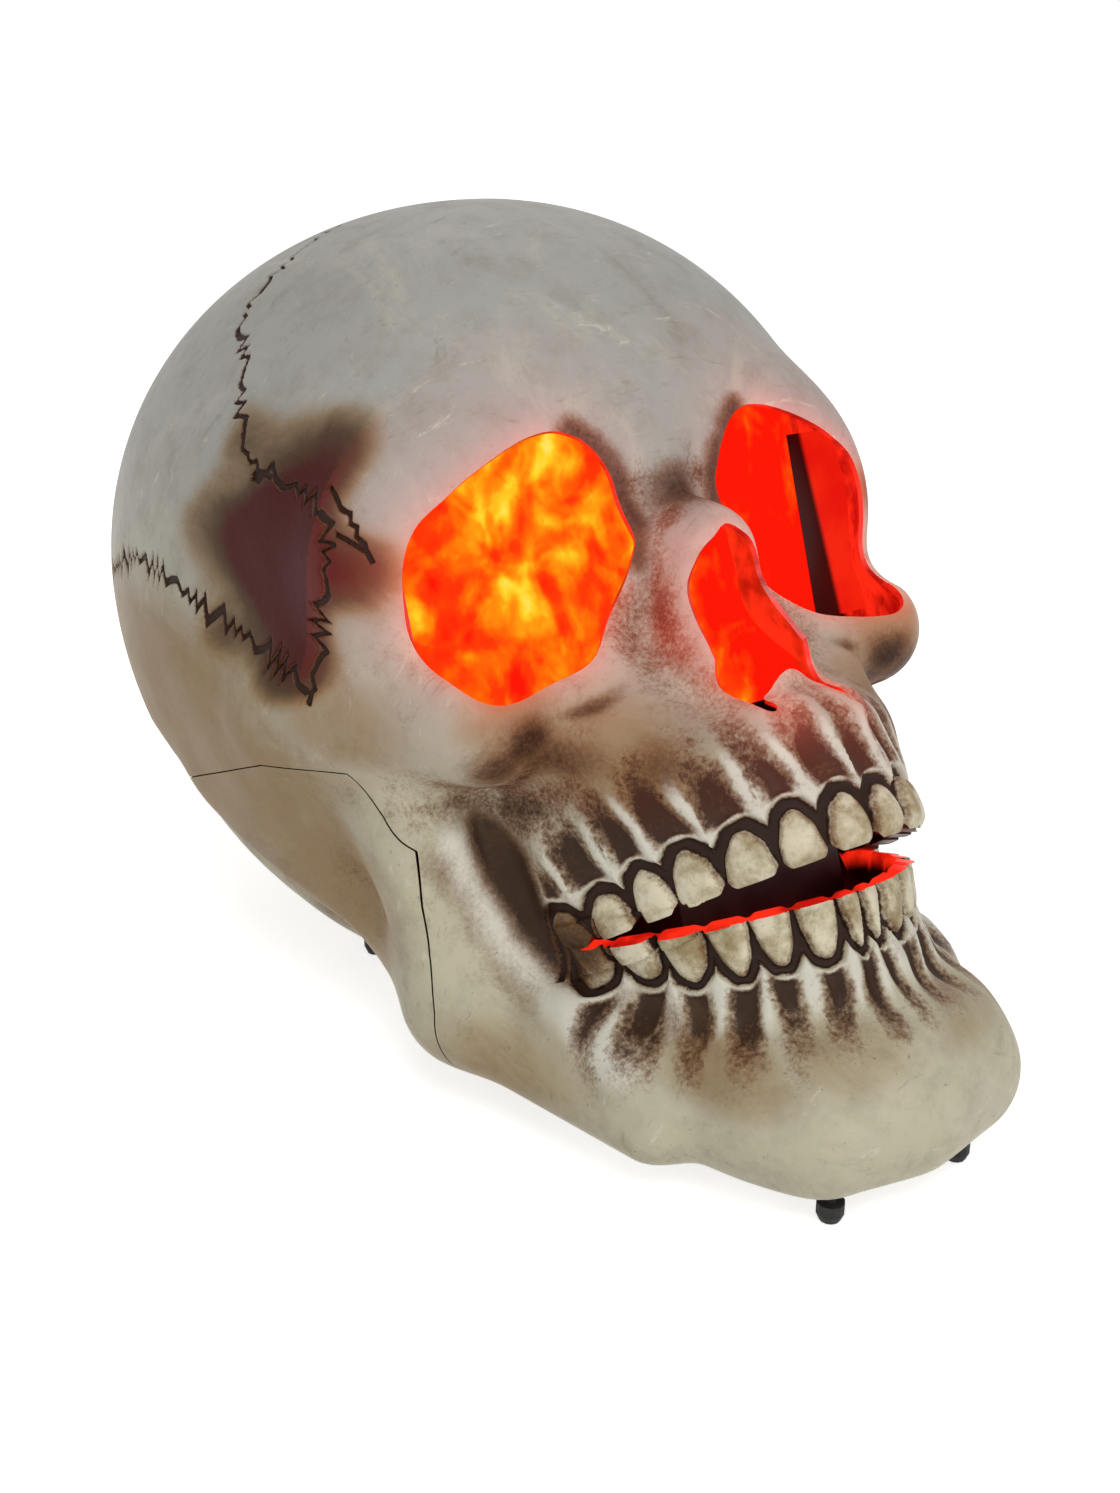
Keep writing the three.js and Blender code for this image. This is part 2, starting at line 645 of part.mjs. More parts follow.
function addScreen() {
  const sheet = leaned(bowedSheet(screen.thickness, screen.halfWidth, screen.height, 0), 0);
  const flame = material(colours.flame, 0.4);
  flame.emissive = new THREE.Color(colours.flame);
  addMesh('flame_screen', sheet, flame);
  const slotHeight = screen.height + overrun;
  const slotSheet = bowedSheet(screen.thickness, screen.halfWidth + seatGap, slotHeight, seatGap);
  const slot = leaned(slotSheet, -overrun * half);
  for (const [side, sign] of [['right', -1], ['left', 1]]) {
    const x0 = sign * (screen.halfWidth - rail.grip);
    const x1 = sign * (screen.halfWidth + overrun);
    const geometry = new THREE.BoxGeometry(Math.abs(x1 - x0), rail.thickness, rail.height);
    geometry.translate((x0 + x1) * half, 0, screen.height * half);
    const body = leaned(geometry, 0).intersect(seatForm);
    addMesh(`screen_rail_${side}`, mainPiece(body.subtract(slot)), blackPlastic);
  }
}

// Projector: built upright from the middle of its underside, then leaned back by its group
const projectorGroup = new THREE.Group();
projectorGroup.position.set(0, projector.y, projector.z);
projectorGroup.rotation.x = -projector.lean;

const pitchRadius = {
  wheel: wheel.teeth * wheel.module * half,
  pinion: pinion.teeth * wheel.module * half,
};
const motorPlace = { x: wheel.x + pitchRadius.wheel + pitchRadius.pinion + gearBacklash, y: wheel.y };

// A gear outline with slim straight teeth; turn shifts the first tooth by a share of one tooth
function gearOutline(teeth, turnShare) {
  const radius = teeth * wheel.module * half;
  const step = fullTurn / teeth;
  const flankShares = [[gearShares.root, -gearShares.fall], [gearShares.tip, gearShares.rise]];
  const outline = [];
  for (let i = 0; i < teeth; i += 1) {
    const middle = (i + turnShare) * step;
    for (const [side, order] of [[-1, flankShares], [1, [...flankShares].reverse()]]) {
      for (const [spread, rise] of order) {
        const angle = middle + side * spread * step;
        const r = radius + rise * wheel.module;
        outline.push([r * Math.cos(angle), r * Math.sin(angle)]);
      }
    }
  }
  return outline;
}

function placed(geometry, x, y, z) {
  geometry.translate(x, y, z);
  return solidOf(geometry);
}

// A window's outline: how far out it lies between hub and rim, and how far round
const windowShares = [
  [0, -0.3], [0.35, -0.34], [0.75, -0.16], [1, 0.12], [0.66, 0.16], [0.45, 0.02], [0.25, 0.22], [0, 0.16],
];
const windowRimTeeth = 3;

// Flame-shaped windows round the wheel let the lamp's light through in moving tongues
function flameWindow(index) {
  const turn = index / wheel.windows * fullTurn;
  const inner = wheel.hubRadius + wheel.hubRadius;
  const outer = pitchRadius.wheel - wheel.module * windowRimTeeth;
  const outline = windowShares.map(([rise, spread]) => {
    const r = THREE.MathUtils.lerp(inner, outer, rise);
    const angle = turn + spread;
    return [r * Math.cos(angle), r * Math.sin(angle)];
  });
  const depth = wheel.thickness + overrun;
  return placed(prism(outline, depth), wheel.x, wheel.y, wheel.z - overrun * half);
}

function wheelSolid() {
  const disc = placed(prism(gearOutline(wheel.teeth, 0), wheel.thickness), wheel.x, wheel.y, wheel.z);
  const hub = post(wheel.hubRadius, wheel.z, wheel.z + wheel.hubHeight, wheel.x, wheel.y);
  const bore = post(axle.radius + seatGap, wheel.z - overrun, wheel.z + overrun, wheel.x, wheel.y);
  const windows = Array.from({ length: wheel.windows }, (_, i) => flameWindow(i));
  return cutBy(disc.add(hub), bore, ...windows);
}

function pinionSolid() {
  const z = wheel.z - (pinion.height - wheel.thickness) * half;
  const gear = placed(prism(gearOutline(pinion.teeth, 0), pinion.height), motorPlace.x, motorPlace.y, z);
  const radius = motor.shaftRadius + seatGap;
  const bore = post(radius, z - overrun, z + overrun, motorPlace.x, motorPlace.y, radius, screwSides);
  return gear.subtract(bore);
}

function boxSolid() {
  const x = box.width * half;
  const y = box.depth * half;
  const outer = block(-x, x, -y, y, 0, box.height);
  const innerX = x - box.wall;
  const innerY = y - box.wall;
  const inner = block(-innerX, innerX, -innerY, innerY, box.wall, box.height + overrun);
  const postTop = wheel.z - seatGap;
  const axlePost = post(axle.postRadius, box.wall * half, postTop, wheel.x, wheel.y);
  const axleBore = post(axle.radius + seatGap, box.wall, postTop + overrun, wheel.x, wheel.y);
  return cutBy(outer.subtract(inner).add(axlePost), axleBore);
}

function lidSolid() {
  const x = box.width * half;
  const y = box.depth * half;
  const plate = block(-x, x, -y, y, box.height + seatGap, box.height + seatGap + lid.thickness);
  const lipX = x - box.wall - seatGap;
  const lipY = y - box.wall - seatGap;
  const lipOuter = block(-lipX, lipX, -lipY, lipY, box.height - lid.lip, box.height + lid.thickness * half);
  const lipInner = block(-lipX + lid.lipWall, lipX - lid.lipWall, -lipY + lid.lipWall, lipY - lid.lipWall,
    box.height - overrun, box.height + seatGap);
  const seatRadius = lens.radius + seatGap;
  const seatZ = box.height + seatGap + lid.thickness - lens.edge;
  const top = box.height + overrun;
  const seat = post(seatRadius, seatZ, top, lens.x, lens.y, seatRadius, lensSides);
  const light = post(lens.seatRadius, box.height - overrun, top, lens.x, lens.y, lens.seatRadius, lensSides);
  return cutBy(plate.add(lipOuter.subtract(lipInner)), seat, light);
}

function lensSolid() {
  const base = box.height + seatGap + lid.thickness - lens.edge + seatGap;
  const sphere = (lens.radius ** 2 + lens.crown ** 2) / (2 * lens.crown);
  const spread = Math.asin(lens.radius / sphere);
  const dome = Array.from({ length: domeRows }, (_, i) => {
    const angle = spread * (1 - (i + 1) / domeRows);
    return [sphere * Math.sin(angle), base + lens.edge + lens.crown - sphere + sphere * Math.cos(angle)];
  });
  const profile = [[0, base], [lens.radius, base], [lens.radius, base + lens.edge], ...dome];
  const geometry = new THREE.LatheGeometry(profile.map(([r, z]) => new THREE.Vector2(r, z)), lensSides);
  geometry.rotateX(quarterTurn);
  return placed(geometry, lens.x, lens.y, 0);
}

function heatSinkSolid() {
  const z = box.wall + seatGap;
  const x = sink.width * half;
  const y = sink.depth * half;
  const plateZ = z + sink.height - sink.web;
  const plate = block(lens.x - x, lens.x + x, lens.y - y, lens.y + y, plateZ, z + sink.height);
  const pitch = (sink.width - sink.web) / (sink.fins - 1);
  const fins = Array.from({ length: sink.fins }, (_, i) => {
    const x0 = lens.x - x + i * pitch;
    return block(x0, x0 + sink.web, lens.y - y, lens.y + y, z, plateZ + sink.web * half);
  });
  return joined(plate, ...fins);
}

function lampBoardSolid(z) {
  const x = board.width * half;
  const y = board.depth * half;
  return block(lens.x - x, lens.x + x, lens.y - y, lens.y + y, z, z + board.thickness);
}

function lampSolid(z) {
  const dome = new THREE.SphereGeometry(lamp.radius, footSides, lampRings);
  dome.rotateX(quarterTurn);
  return post(lamp.radius, z, z + lamp.height, lens.x, lens.y, lamp.radius, footSides)
    .add(placed(dome, lens.x, lens.y, z + lamp.height));
}

function motorSolid() {
  const z = box.wall + seatGap;
  const can = post(motor.radius, z, z + motor.height, motorPlace.x, motorPlace.y);
  const top = z + motor.height + motor.shaftRise;
  const shaft = post(motor.shaftRadius, z + motor.height * half, top, motorPlace.x, motorPlace.y,
    motor.shaftRadius, screwSides);
  return can.add(shaft);
}

function axleSolid() {
  const top = wheel.z + wheel.hubHeight + seatGap;
  return post(axle.radius, box.wall + seatGap, top, wheel.x, wheel.y, axle.radius, footSides);
}

function standSolid() {
  const x = stand.width * half;
  const y = stand.depth * half;
  const geometry = new THREE.BoxGeometry(x + x, y + y, stand.drop);
  geometry.translate(0, 0, -stand.drop * half - seatGap);
  geometry.rotateX(-projector.lean);
  geometry.translate(0, projector.y, projector.z);
  const arch = new THREE.BoxGeometry(stand.width - stand.leg - stand.leg, skullLength, stand.drop);
  arch.translate(0, 0, -stand.drop * half - stand.leg);
  arch.rotateX(-projector.lean);
  arch.translate(0, projector.y, projector.z);
  return solidOf(geometry).subtract(solidOf(arch)).intersect(seatForm);
}

function addProjector() {
  part.add(projectorGroup);
  const sinkTop = box.wall + seatGap + sink.height;
  const boardZ = sinkTop + seatGap;
  const lampZ = boardZ + board.thickness + seatGap;
  const pieces = [
    ['projector_box', boxSolid(), blackPlastic],
    ['projector_lid', lidSolid(), blackPlastic],
    ['projector_lens', lensSolid(), material(colours.lens, 0.05)],
    ['heat_sink', heatSinkSolid(), material(colours.alloy, 0.4, 1)],
    ['lamp_board', lampBoardSolid(boardZ), material(colours.board, 0.6)],
    ['flame_lamp', lampSolid(lampZ), material(colours.lamp, 0.2)],
    ['drive_motor', motorSolid(), steel],
    ['motor_pinion', pinionSolid(), material(colours.white, 0.5)],
    ['flame_wheel', wheelSolid(), material(colours.flame, 0.4)],
    ['wheel_axle', axleSolid(), steel],
  ];
  for (const [name, solid, meshMaterial] of pieces) addMesh(name, solid, meshMaterial, projectorGroup);
  addMesh('projector_stand', standSolid(), blackPlastic);
}

// Base: cell tray over the hatch, with its cells, contacts, door, switch and control board
const trayZ = foot.height + hatch.height + seatGap;
const trayHeight = cell.radius * 2 + seatGap * 2 + tray.wall;

function traySolid() {
  const { halfWidth, halfLength } = trayInside;
  const x = halfWidth + tray.wall;
  const y = halfLength + tray.wall;
  const top = trayZ + trayHeight;
  const outer = block(-x, x, tray.y - y, tray.y + y, trayZ, top);
  const inner = block(-halfWidth, halfWidth, tray.y - halfLength, tray.y + halfLength,
    trayZ - overrun, top - tray.wall);
  return outer.subtract(inner);
}

function cellSolid(index) {
  const x = (index - (cell.count - 1) * half) * cell.pitch;
  const z = trayZ + cell.radius + seatGap;
  const turned = index % 2 ? 1 : -1;
  const body = post(cell.radius, -cell.length * half, cell.length * half, 0, 0);
  const end = cell.length * half;
  const cap = post(cell.capRadius, end - seatGap, end + cell.capHeight, 0, 0, cell.capRadius, screwSides);
  const geometry = geometryOf(body.add(cap));
  geometry.translate(0, 0, -cell.capHeight * half);
  geometry.rotateX(turned * quarterTurn);
  geometry.translate(x, tray.y, z);
  return solidOf(geometry);
}

function contactSolid(sign) {
  const y = tray.y + sign * (trayInside.halfLength - seatGap);
  const x = trayInside.halfWidth - seatGap;
  const z = trayZ + trayHeight - tray.wall - seatGap;
  return block(-x, x, Math.min(y, y - sign * contact.thickness), Math.max(y, y - sign * contact.thickness),
    trayZ + cell.radius * half, z);
}

function doorSolid() {
  const z = foot.height + seatGap;
  const plate = block(-doorEdge.x, doorEdge.x, doorEdge.front, doorEdge.axisY, z, z + door.thickness);
  const barrel = alongX(doorEdge.x * 2, door.barrel, doorEdge.axisY, doorEdge.axisZ);
  const pins = alongX((doorEdge.x + door.pinLength) * 2, door.pin, doorEdge.axisY, doorEdge.axisZ);
  const notch = post(door.notch, z - overrun, z + overrun, 0, doorEdge.front);
  return plate.add(barrel).add(pins).subtract(notch);
}

function switchBodySolid() {
  const z = floorTop + seatGap;
  const x = slider.width * half;
  const y0 = slider.y + slider.travel * half - slider.length * half;
  const body = block(slider.x - x, slider.x + x, y0, y0 + slider.length, z, z + slider.height);
  const roomX = slider.knobWidth * half + seatGap;
  const room = block(slider.x - roomX, slider.x + roomX, slider.y - slider.knobLength * half - seatGap,
    slider.y + slider.knobLength * half + slider.travel + seatGap, z - overrun, z + slider.height * half);
  return body.subtract(room).intersect(seatForm);
}

function switchKnobSolid() {
  const x = slider.knobWidth * half;
  const y = slider.knobLength * half;
  const top = floorTop + seatGap + slider.height * half - seatGap;
  return block(slider.x - x, slider.x + x, slider.y - y, slider.y + y, foot.height - slider.knobDrop, top);
}

function controlBoardSolid() {
  const z = trayZ + trayHeight + seatGap;
  const x = control.width * half;
  const y = control.depth * half;
  const plate = block(-x, x, tray.y - y, tray.y + y, z, z + control.thickness);
  const chipX = control.chip * half;
  const chipTop = z + control.thickness + control.chipHeight;
  return plate.add(block(-chipX, chipX, tray.y - chipX, tray.y + chipX, z, chipTop));
}

function addBase() {
  const brass = material(colours.brass, 0.4, 1);
  addMesh('cell_tray', traySolid(), blackPlastic);
  for (let i = 0; i < cell.count; i += 1) addMesh(`cell_${i + 1}`, cellSolid(i), material(colours.cell, 0.4));
  addMesh('contact_front', contactSolid(-1), brass);
  addMesh('contact_rear', contactSolid(1), brass);
  addMesh('battery_door', doorSolid(), bone);
  addMesh('switch_body', switchBodySolid(), blackPlastic);
  addMesh('switch_knob', switchKnobSolid(), blackPlastic);
  addMesh('control_board', controlBoardSolid(), material(colours.board, 0.6));
}

addShells();
addFeet();
addShellScrews();
addScreen();
addProjector();
addBase();

// The origin lies on the floor, below the middle of the skull's length
const ends = new THREE.Box3().setFromObject(part);
part.position.y = -(ends.min.y + ends.max.y) * half;

export default part;
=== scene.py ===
# Light-up skull, dressed over its imported solids: a hand-painted translucent shell with its tooth rows,
# sutures and cut-out openings, the projected flames painted as glow on the screen behind them, and rubber
# feet.
# Metres, +Z up, the face towards -Y, the skull's left towards +X, the floor at z = 0.
import math
from itertools import combinations
from types import SimpleNamespace

import bpy
import numpy as np
from mathutils import Matrix, Vector


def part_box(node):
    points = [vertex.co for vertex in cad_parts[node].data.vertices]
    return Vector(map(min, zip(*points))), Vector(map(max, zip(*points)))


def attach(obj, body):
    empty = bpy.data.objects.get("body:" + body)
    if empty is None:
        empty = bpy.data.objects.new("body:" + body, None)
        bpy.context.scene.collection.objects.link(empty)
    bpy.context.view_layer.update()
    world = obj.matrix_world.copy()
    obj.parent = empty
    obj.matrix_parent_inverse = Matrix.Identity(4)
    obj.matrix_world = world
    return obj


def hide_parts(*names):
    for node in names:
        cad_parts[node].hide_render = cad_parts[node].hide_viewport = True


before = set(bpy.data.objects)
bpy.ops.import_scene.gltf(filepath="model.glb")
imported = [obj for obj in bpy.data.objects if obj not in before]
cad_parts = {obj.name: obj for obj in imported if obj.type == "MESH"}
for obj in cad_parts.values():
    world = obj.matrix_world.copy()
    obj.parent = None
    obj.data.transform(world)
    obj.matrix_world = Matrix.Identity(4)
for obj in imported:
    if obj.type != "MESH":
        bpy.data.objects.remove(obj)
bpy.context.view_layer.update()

# Sizes of the skull
LENGTH = 0.55
WALL = 0.0042
SEAM_GAP = 0.0006
FOOT_HEIGHT = 0.009
FRONT_FOOT_Y = -0.242
UNDER_BLEND_SHARE = 0.022

# The solids' frame has its origin below the middle of the length, the form's frame a little behind that
SHIFT = float(np.mean([corner[1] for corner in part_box("front_foot_left")])) - FRONT_FOOT_Y

# The skull's form, in shares of its length. Every entry is made on both sides of the middle plane.
CRANIUM = {
    "centre": (0, 0.109, 0.351), "side": 0.322, "front": 0.291, "rear": 0.404,
    "up": 0.34, "down": 0.367, "squareness": 2.4,
}
FORM = [
    {"name": "temple", "cut": True, "ball": (0.393, -0.011, 0.429), "radii": (0.084, 0.109, 0.12),
     "blend": 0.073},
    {"name": "palate", "ball": (0, -0.145, 0.196), "radii": (0.18, 0.178, 0.156), "lean": -16,
     "blend": 0.055},
    {"name": "orbit", "ball": (0.156, -0.084, 0.444), "radii": (0.109, 0.073, 0.109), "lean": -18, "turn": 10,
     "blend": 0.04},
    {"name": "nose_bridge", "limb": ((0, -0.113, 0.471), (0, -0.193, 0.449)), "radii": (0.013, 0.02),
     "blend": 0.029},
    {"name": "nose", "limb": ((0, -0.182, 0.447), (0, -0.238, 0.367)), "radii": (0.025, 0.053),
     "blend": 0.051},
    {"name": "upper_jaw", "limb": ((0.113, -0.171, 0.338), (0.084, -0.247, 0.284)), "radii": (0.051, 0.055),
     "blend": 0.044},
    {"name": "upper_arch", "plate": (0, -0.187, 0.189), "lean": 36, "radii": (0.109, 0.193), "half": 0.036,
     "round": 0.029, "blend": 0.04},
    {"name": "cheek", "limb": ((0.2, -0.171, 0.34), (0.276, 0, 0.309)), "radii": (0.049, 0.033),
     "blend": 0.04},
    {"name": "jaw_body", "limb": ((0.189, -0.131, 0.098), (0.102, -0.371, 0.076)), "radii": (0.044, 0.049),
     "blend": 0.033},
    {"name": "jaw_edge", "limb": ((0.2, -0.153, 0.073), (0.155, -0.335, 0.055)), "radii": (0.027, 0.025),
     "blend": 0.04},
    {"name": "ramus_front", "limb": ((0.2, -0.145, 0.095), (0.225, -0.113, 0.236)), "radii": (0.038, 0.04),
     "blend": 0.051},
    {"name": "ramus_rear", "limb": ((0.2, -0.073, 0.12), (0.24, 0.127, 0.215)), "radii": (0.036, 0.044),
     "blend": 0.04},
    {"name": "chin", "limb": ((0, -0.429, 0.076), (0.065, -0.42, 0.076)), "radii": (0.062, 0.06),
     "blend": 0.04},
    {"name": "chin_front", "limb": ((0, -0.345, 0.171), (0, -0.404, 0.098)), "radii": (0.035, 0.062),
     "blend": 0.047},
    {"name": "chin_side", "limb": ((0.062, -0.324, 0.153), (0.069, -0.378, 0.087)), "radii": (0.029, 0.047),
     "blend": 0.04},
    {"name": "lower_arch", "plate": (0, -0.225, 0.12), "lean": 27, "radii": (0.105, 0.156), "half": 0.029,
     "round": 0.027, "blend": 0.033},
    {"name": "dish", "cut": True, "ball": (0.145, -0.204, 0.455), "radii": (0.08, 0.047, 0.073), "lean": -20,
     "turn": 14, "blend": 0.025},
    {"name": "valley", "cut": True, "limb": ((0.036, -0.175, 0.538), (0.033, -0.167, 0.495)),
     "radii": (0.033, 0.022), "blend": 0.025},
    {"name": "hollow", "cut": True, "limb": ((0.207, -0.193, 0.218), (0.195, -0.225, 0.149)),
     "radii": (0.016, 0.015), "blend": 0.025},
    {"name": "crease", "cut": True, "limb": ((0.305, 0.236, 0.153), (0.236, 0, 0.08)),
     "radii": (0.051, 0.036), "blend": 0.033},
]
HEART = {"middle": (0, -0.091, 0.245), "axis": (0, -0.895, -0.447), "reach": 0.182}

# Openings: eye and nose outlines are seen from the front (x, z), the mouth and the parting line from the
# side (y, z). An opening's distance is only worked out in its own zone, and is far away everywhere else.
EYE_SHARES = [
    (0.23, 0.469), (0.218, 0.487), (0.198, 0.502), (0.178, 0.515), (0.151, 0.528), (0.123, 0.538),
    (0.096, 0.541), (0.075, 0.533), (0.06, 0.517), (0.05, 0.495), (0.047, 0.472), (0.052, 0.45),
    (0.06, 0.43), (0.072, 0.411), (0.089, 0.395), (0.111, 0.382), (0.138, 0.373), (0.167, 0.367),
    (0.196, 0.366), (0.217, 0.371), (0.229, 0.383), (0.235, 0.402), (0.237, 0.424), (0.236, 0.448),
]
NOSE_SHARES = [
    (0, 0.471), (0.013, 0.464), (0.025, 0.453), (0.034, 0.433), (0.038, 0.412), (0.042, 0.393),
    (0.045, 0.379), (0.045, 0.365), (0.04, 0.357), (0.033, 0.357), (0.02, 0.363), (0.01, 0.372), (0, 0.376),
]
MOUTH_CORNER = (-0.24, 0.165)
MOUTH_UPPER = (-0.56, 0.395)
MOUTH_LOWER = (-0.56, 0.31)
MOUTH_HALF_WIDTH_SHARE = 0.19
FAR = 1.0
EYE_ZONE = {"rear": -0.03, "low": 0.15, "high": 0.34, "half_width": FAR}
NOSE_ZONE = {"rear": -0.07, "low": 0.15, "high": 0.31, "half_width": 0.09}
BEYOND = 0.9
SEAM_SHARES = [
    (0.62, 0.11), (0.236, 0.173), (0.12, 0.222), (-0.014, 0.277), (-0.096, 0.289), (-0.128, 0.262),
    (-0.15, 0.236), (-0.154, 0.19), (-0.16, 0.15), (-0.17, 0.105), (-0.175, 0.05), (-0.175, -0.1),
]

# Teeth: the middles of the crowns of one side, from the front to the rear
UPPER_TEETH = [
    (0.015, -0.378, 0.293), (0.044, -0.358, 0.28), (0.073, -0.342, 0.262), (0.098, -0.313, 0.244),
    (0.113, -0.289, 0.225), (0.127, -0.26, 0.205), (0.136, -0.222, 0.18),
]
LOWER_TEETH = [
    (0.015, -0.407, 0.222), (0.044, -0.393, 0.211), (0.073, -0.375, 0.202), (0.098, -0.355, 0.193),
    (0.113, -0.322, 0.175), (0.127, -0.293, 0.16), (0.136, -0.253, 0.144),
]
UPPER = {"teeth": UPPER_TEETH, "lean": 36, "crown": 0.0205, "sharp": 1.7, "sign": 1, "line": MOUTH_UPPER,
         "root": 0.042, "slant": 0.4, "band": 0.0046, "notch": 0.0026}
LOWER = {"teeth": LOWER_TEETH, "lean": 27, "crown": 0.022, "sharp": 2.0, "sign": -1, "line": MOUTH_LOWER,
         "root": 0.032, "slant": 0.1, "band": 0.0036, "notch": 0.0013}
CROWN = {"tilt": 0.06, "tall_wave": 0.07, "rear_shorter": 0.2, "rear_from": 0.45, "half_width_share": 0.44,
         "wide_wave": 0.05, "top_power": 2.3, "least_slope": 120, "wobble": 0.0004, "wobble_up": 420,
         "wobble_along": 13, "dome_power": 2.2, "dome_root": 0.7, "cutting_edge": 0.55}
CROWN_PAINT_EDGE = (-0.001, 0.0004)
CROWN_WEAR_EDGE = (-0.0045, -0.0003)
CROWN_WEAR = 0.5
CROWN_RISE = 0.0036
BAND_DEPTH = 0.0021
GUM_RISE = 0.0013
ROOT_DEPTH = 0.0026
ROOT_RISE = 0.001
ROOT_HALF_WIDTH = 0.0062
NOTCH_HALF_WIDTH = 0.0042
EDGE_ROUND = (-0.001, 0.004)

# The painted trough round each crown and the gum's edge beyond it: where each starts and ends
TROUGH_START = (-0.0006, 0.0008)
TROUGH_END = (-0.0014, 0.0006)
GUM_START = (-0.001, 0.001)
GUM_END = (0.001, 0.01)

# Above the gum's edge: a dark furrow over each crown's middle, a pale ridge with a painted highlight over
# each gap, a wash over all
ROOT = {"ease": 0.48, "gap": 0.0012, "tall_wave": 0.3, "wide_wave": 0.3, "sway": 0.05, "sway_up": 190,
        "sway_tooth": 2.1, "foot_width": 1.05, "narrowing": 0.45, "edge_power": 2.6, "crest": 0.0036}
FURROW_START = (0.0, 0.0035)
FURROW_END = (0.3, 1.1)
RIDGE_START = (0.0, 0.003)
RIDGE_END = (0.3, 1.0)
WASH_START = (0.0, 0.006)
WASH_END = (0.5, 1.6)
WASH = {"plain": 0.62, "streak": 0.3, "crest": 0.62, "furrow": 1.35, "along": 1.9, "sway": 0.5, "sway_up": 60}
FURROW_GRIME = 0.15
GUM_HIGH = 0.7

# Which points belong to a tooth row, and how its ends and its rear side fade out
ROW_ZONE = {"front": 0.03, "rear": 0.035, "side": 0.035, "below": -0.012, "above": 0.075}
ROW_ENDS = (-0.2, 0.1)
ROOT_ENDS = (0.0, 0.9)
ROW_AWAY = (0.05, 0.035)
SEEDS = {"tall": 3, "wide": 7, "root": 11, "furrow": 17, "streak": 2, "sway": 5}
WAVES = ((12.9898, 78.233), (4.1414, 12.71))
ARCH_STEPS = 12
ARCH_SMOOTHING = 6

# Sutures: places on the left side, in shares of the length, with the swing and the pitch of their zigzag
SUTURES = [
    {"name": "coronal", "swing": 0.0034, "pitch": 0.012, "line": [
        (0, 0.235, 0.69), (0.05, 0.215, 0.68), (0.106, 0.203, 0.665), (0.162, 0.182, 0.641),
        (0.202, 0.172, 0.613), (0.225, 0.148, 0.593), (0.241, 0.103, 0.576), (0.261, 0.078, 0.549),
        (0.276, 0.039, 0.513), (0.273, 0.016, 0.506)]},
    {"name": "temple", "swing": 0.0046, "pitch": 0.01, "line": [
        (0.273, 0.016, 0.506), (0.264, -0.029, 0.497), (0.262, -0.058, 0.49), (0.268, -0.074, 0.465),
        (0.27, -0.076, 0.44), (0.274, -0.069, 0.406), (0.285, -0.069, 0.352)]},
    {"name": "lambdoid", "swing": 0.0052, "pitch": 0.0085, "line": [
        (0, 0.5, 0.46), (0.1, 0.49, 0.43), (0.2, 0.455, 0.38), (0.265, 0.4, 0.355),
        (0.295, 0.31, 0.36), (0.314, 0.193, 0.405), (0.316, 0.124, 0.403),
        (0.309, 0.074, 0.389), (0.296, 0.009, 0.374), (0.291, -0.033, 0.363), (0.287, -0.057, 0.357)]},
    {"name": "crack", "swing": 0.0012, "pitch": 0.011, "line": [
        (0.255, -0.067, 0.5), (0.255, -0.089, 0.486), (0.253, -0.106, 0.466), (0.26, -0.089, 0.471)]},
]
ZIGZAG = {"drift": 0.35, "drift_rate": 190, "least": 0.75, "sway": 0.35, "sway_rate": 130}
SUTURE_SIDE = (0.00052, 0.00182)
SUTURE_STEPS = 8
SUTURE_REACH = 0.024
SUTURE_END = 0.006
SUTURE_DEPTH = 0.0018

# The painted temple patch, and soft patches with their middles, radii and amounts: brown wash with painted
# shade, tan wash, and painted highlights
PATCH = {"middle": (0.283, -0.02, 0.449), "radii": (0.1, 0.105, 0.11), "edge": (0.45, 1.25)}
PATCH_WOBBLE = {"along": 0.12, "along_rate": 95, "bend": 1.3, "bend_rate": 70, "up": 0.1, "up_rate": 120}
SOFT_PATCH_END = 1.35
SHADE_CORE = 0.1
TAN_CORE = 0.3
HIGHLIGHT_CORE = 0.2
SHADES = [
    ((0, -0.16, 0.487), (0.045, 0.05, 0.035), 0.85),
    ((0.045, -0.187, 0.42), (0.022, 0.05, 0.06), 0.3),
    ((0.16, -0.215, 0.315), (0.06, 0.07, 0.03), 0.75),
    ((0.205, -0.2, 0.32), (0.035, 0.05, 0.035), 0.85),
    ((0.15, -0.23, 0.17), (0.035, 0.07, 0.05), 0.8),
    ((0.115, -0.29, 0.325), (0.05, 0.05, 0.035), 0.6),
    ((0.185, -0.215, 0.333), (0.04, 0.05, 0.03), 0.9),
    ((0.28, 0.1, 0.16), (0.08, 0.14, 0.05), 0.6),
    ((0.24, 0.02, 0.08), (0.06, 0.12, 0.06), 0.9),
    ((0.05, -0.42, 0.145), (0.12, 0.05, 0.022), 0.4),
    ((0.13, -0.31, 0.13), (0.04, 0.07, 0.025), 0.5),
]
TANS = [
    ((0.3, 0.2, 0.26), (0.2, 0.34, 0.15), 1.25),
    ((0.24, -0.02, 0.17), (0.09, 0.14, 0.13), 1.0),
    ((0.27, -0.08, 0.33), (0.06, 0.12, 0.05), 0.8),
    ((0.14, -0.25, 0.32), (0.12, 0.12, 0.06), 0.9),
    ((0.19, -0.21, 0.35), (0.06, 0.05, 0.05), 0.9),
    ((0.13, -0.39, 0.12), (0.06, 0.08, 0.035), 0.75),
    ((0.06, -0.44, 0.135), (0.09, 0.06, 0.03), 0.6),
    ((0.19, -0.2, 0.07), (0.08, 0.14, 0.06), 0.8),
    ((0, 0.4, 0.2), (0.3, 0.2, 0.2), 0.8),
]
HIGHLIGHT_PATCHES = [
    ((0.14, -0.31, 0.08), (0.05, 0.08, 0.03), 0.8),
    ((0.06, -0.44, 0.08), (0.08, 0.06, 0.05), 0.6),
]
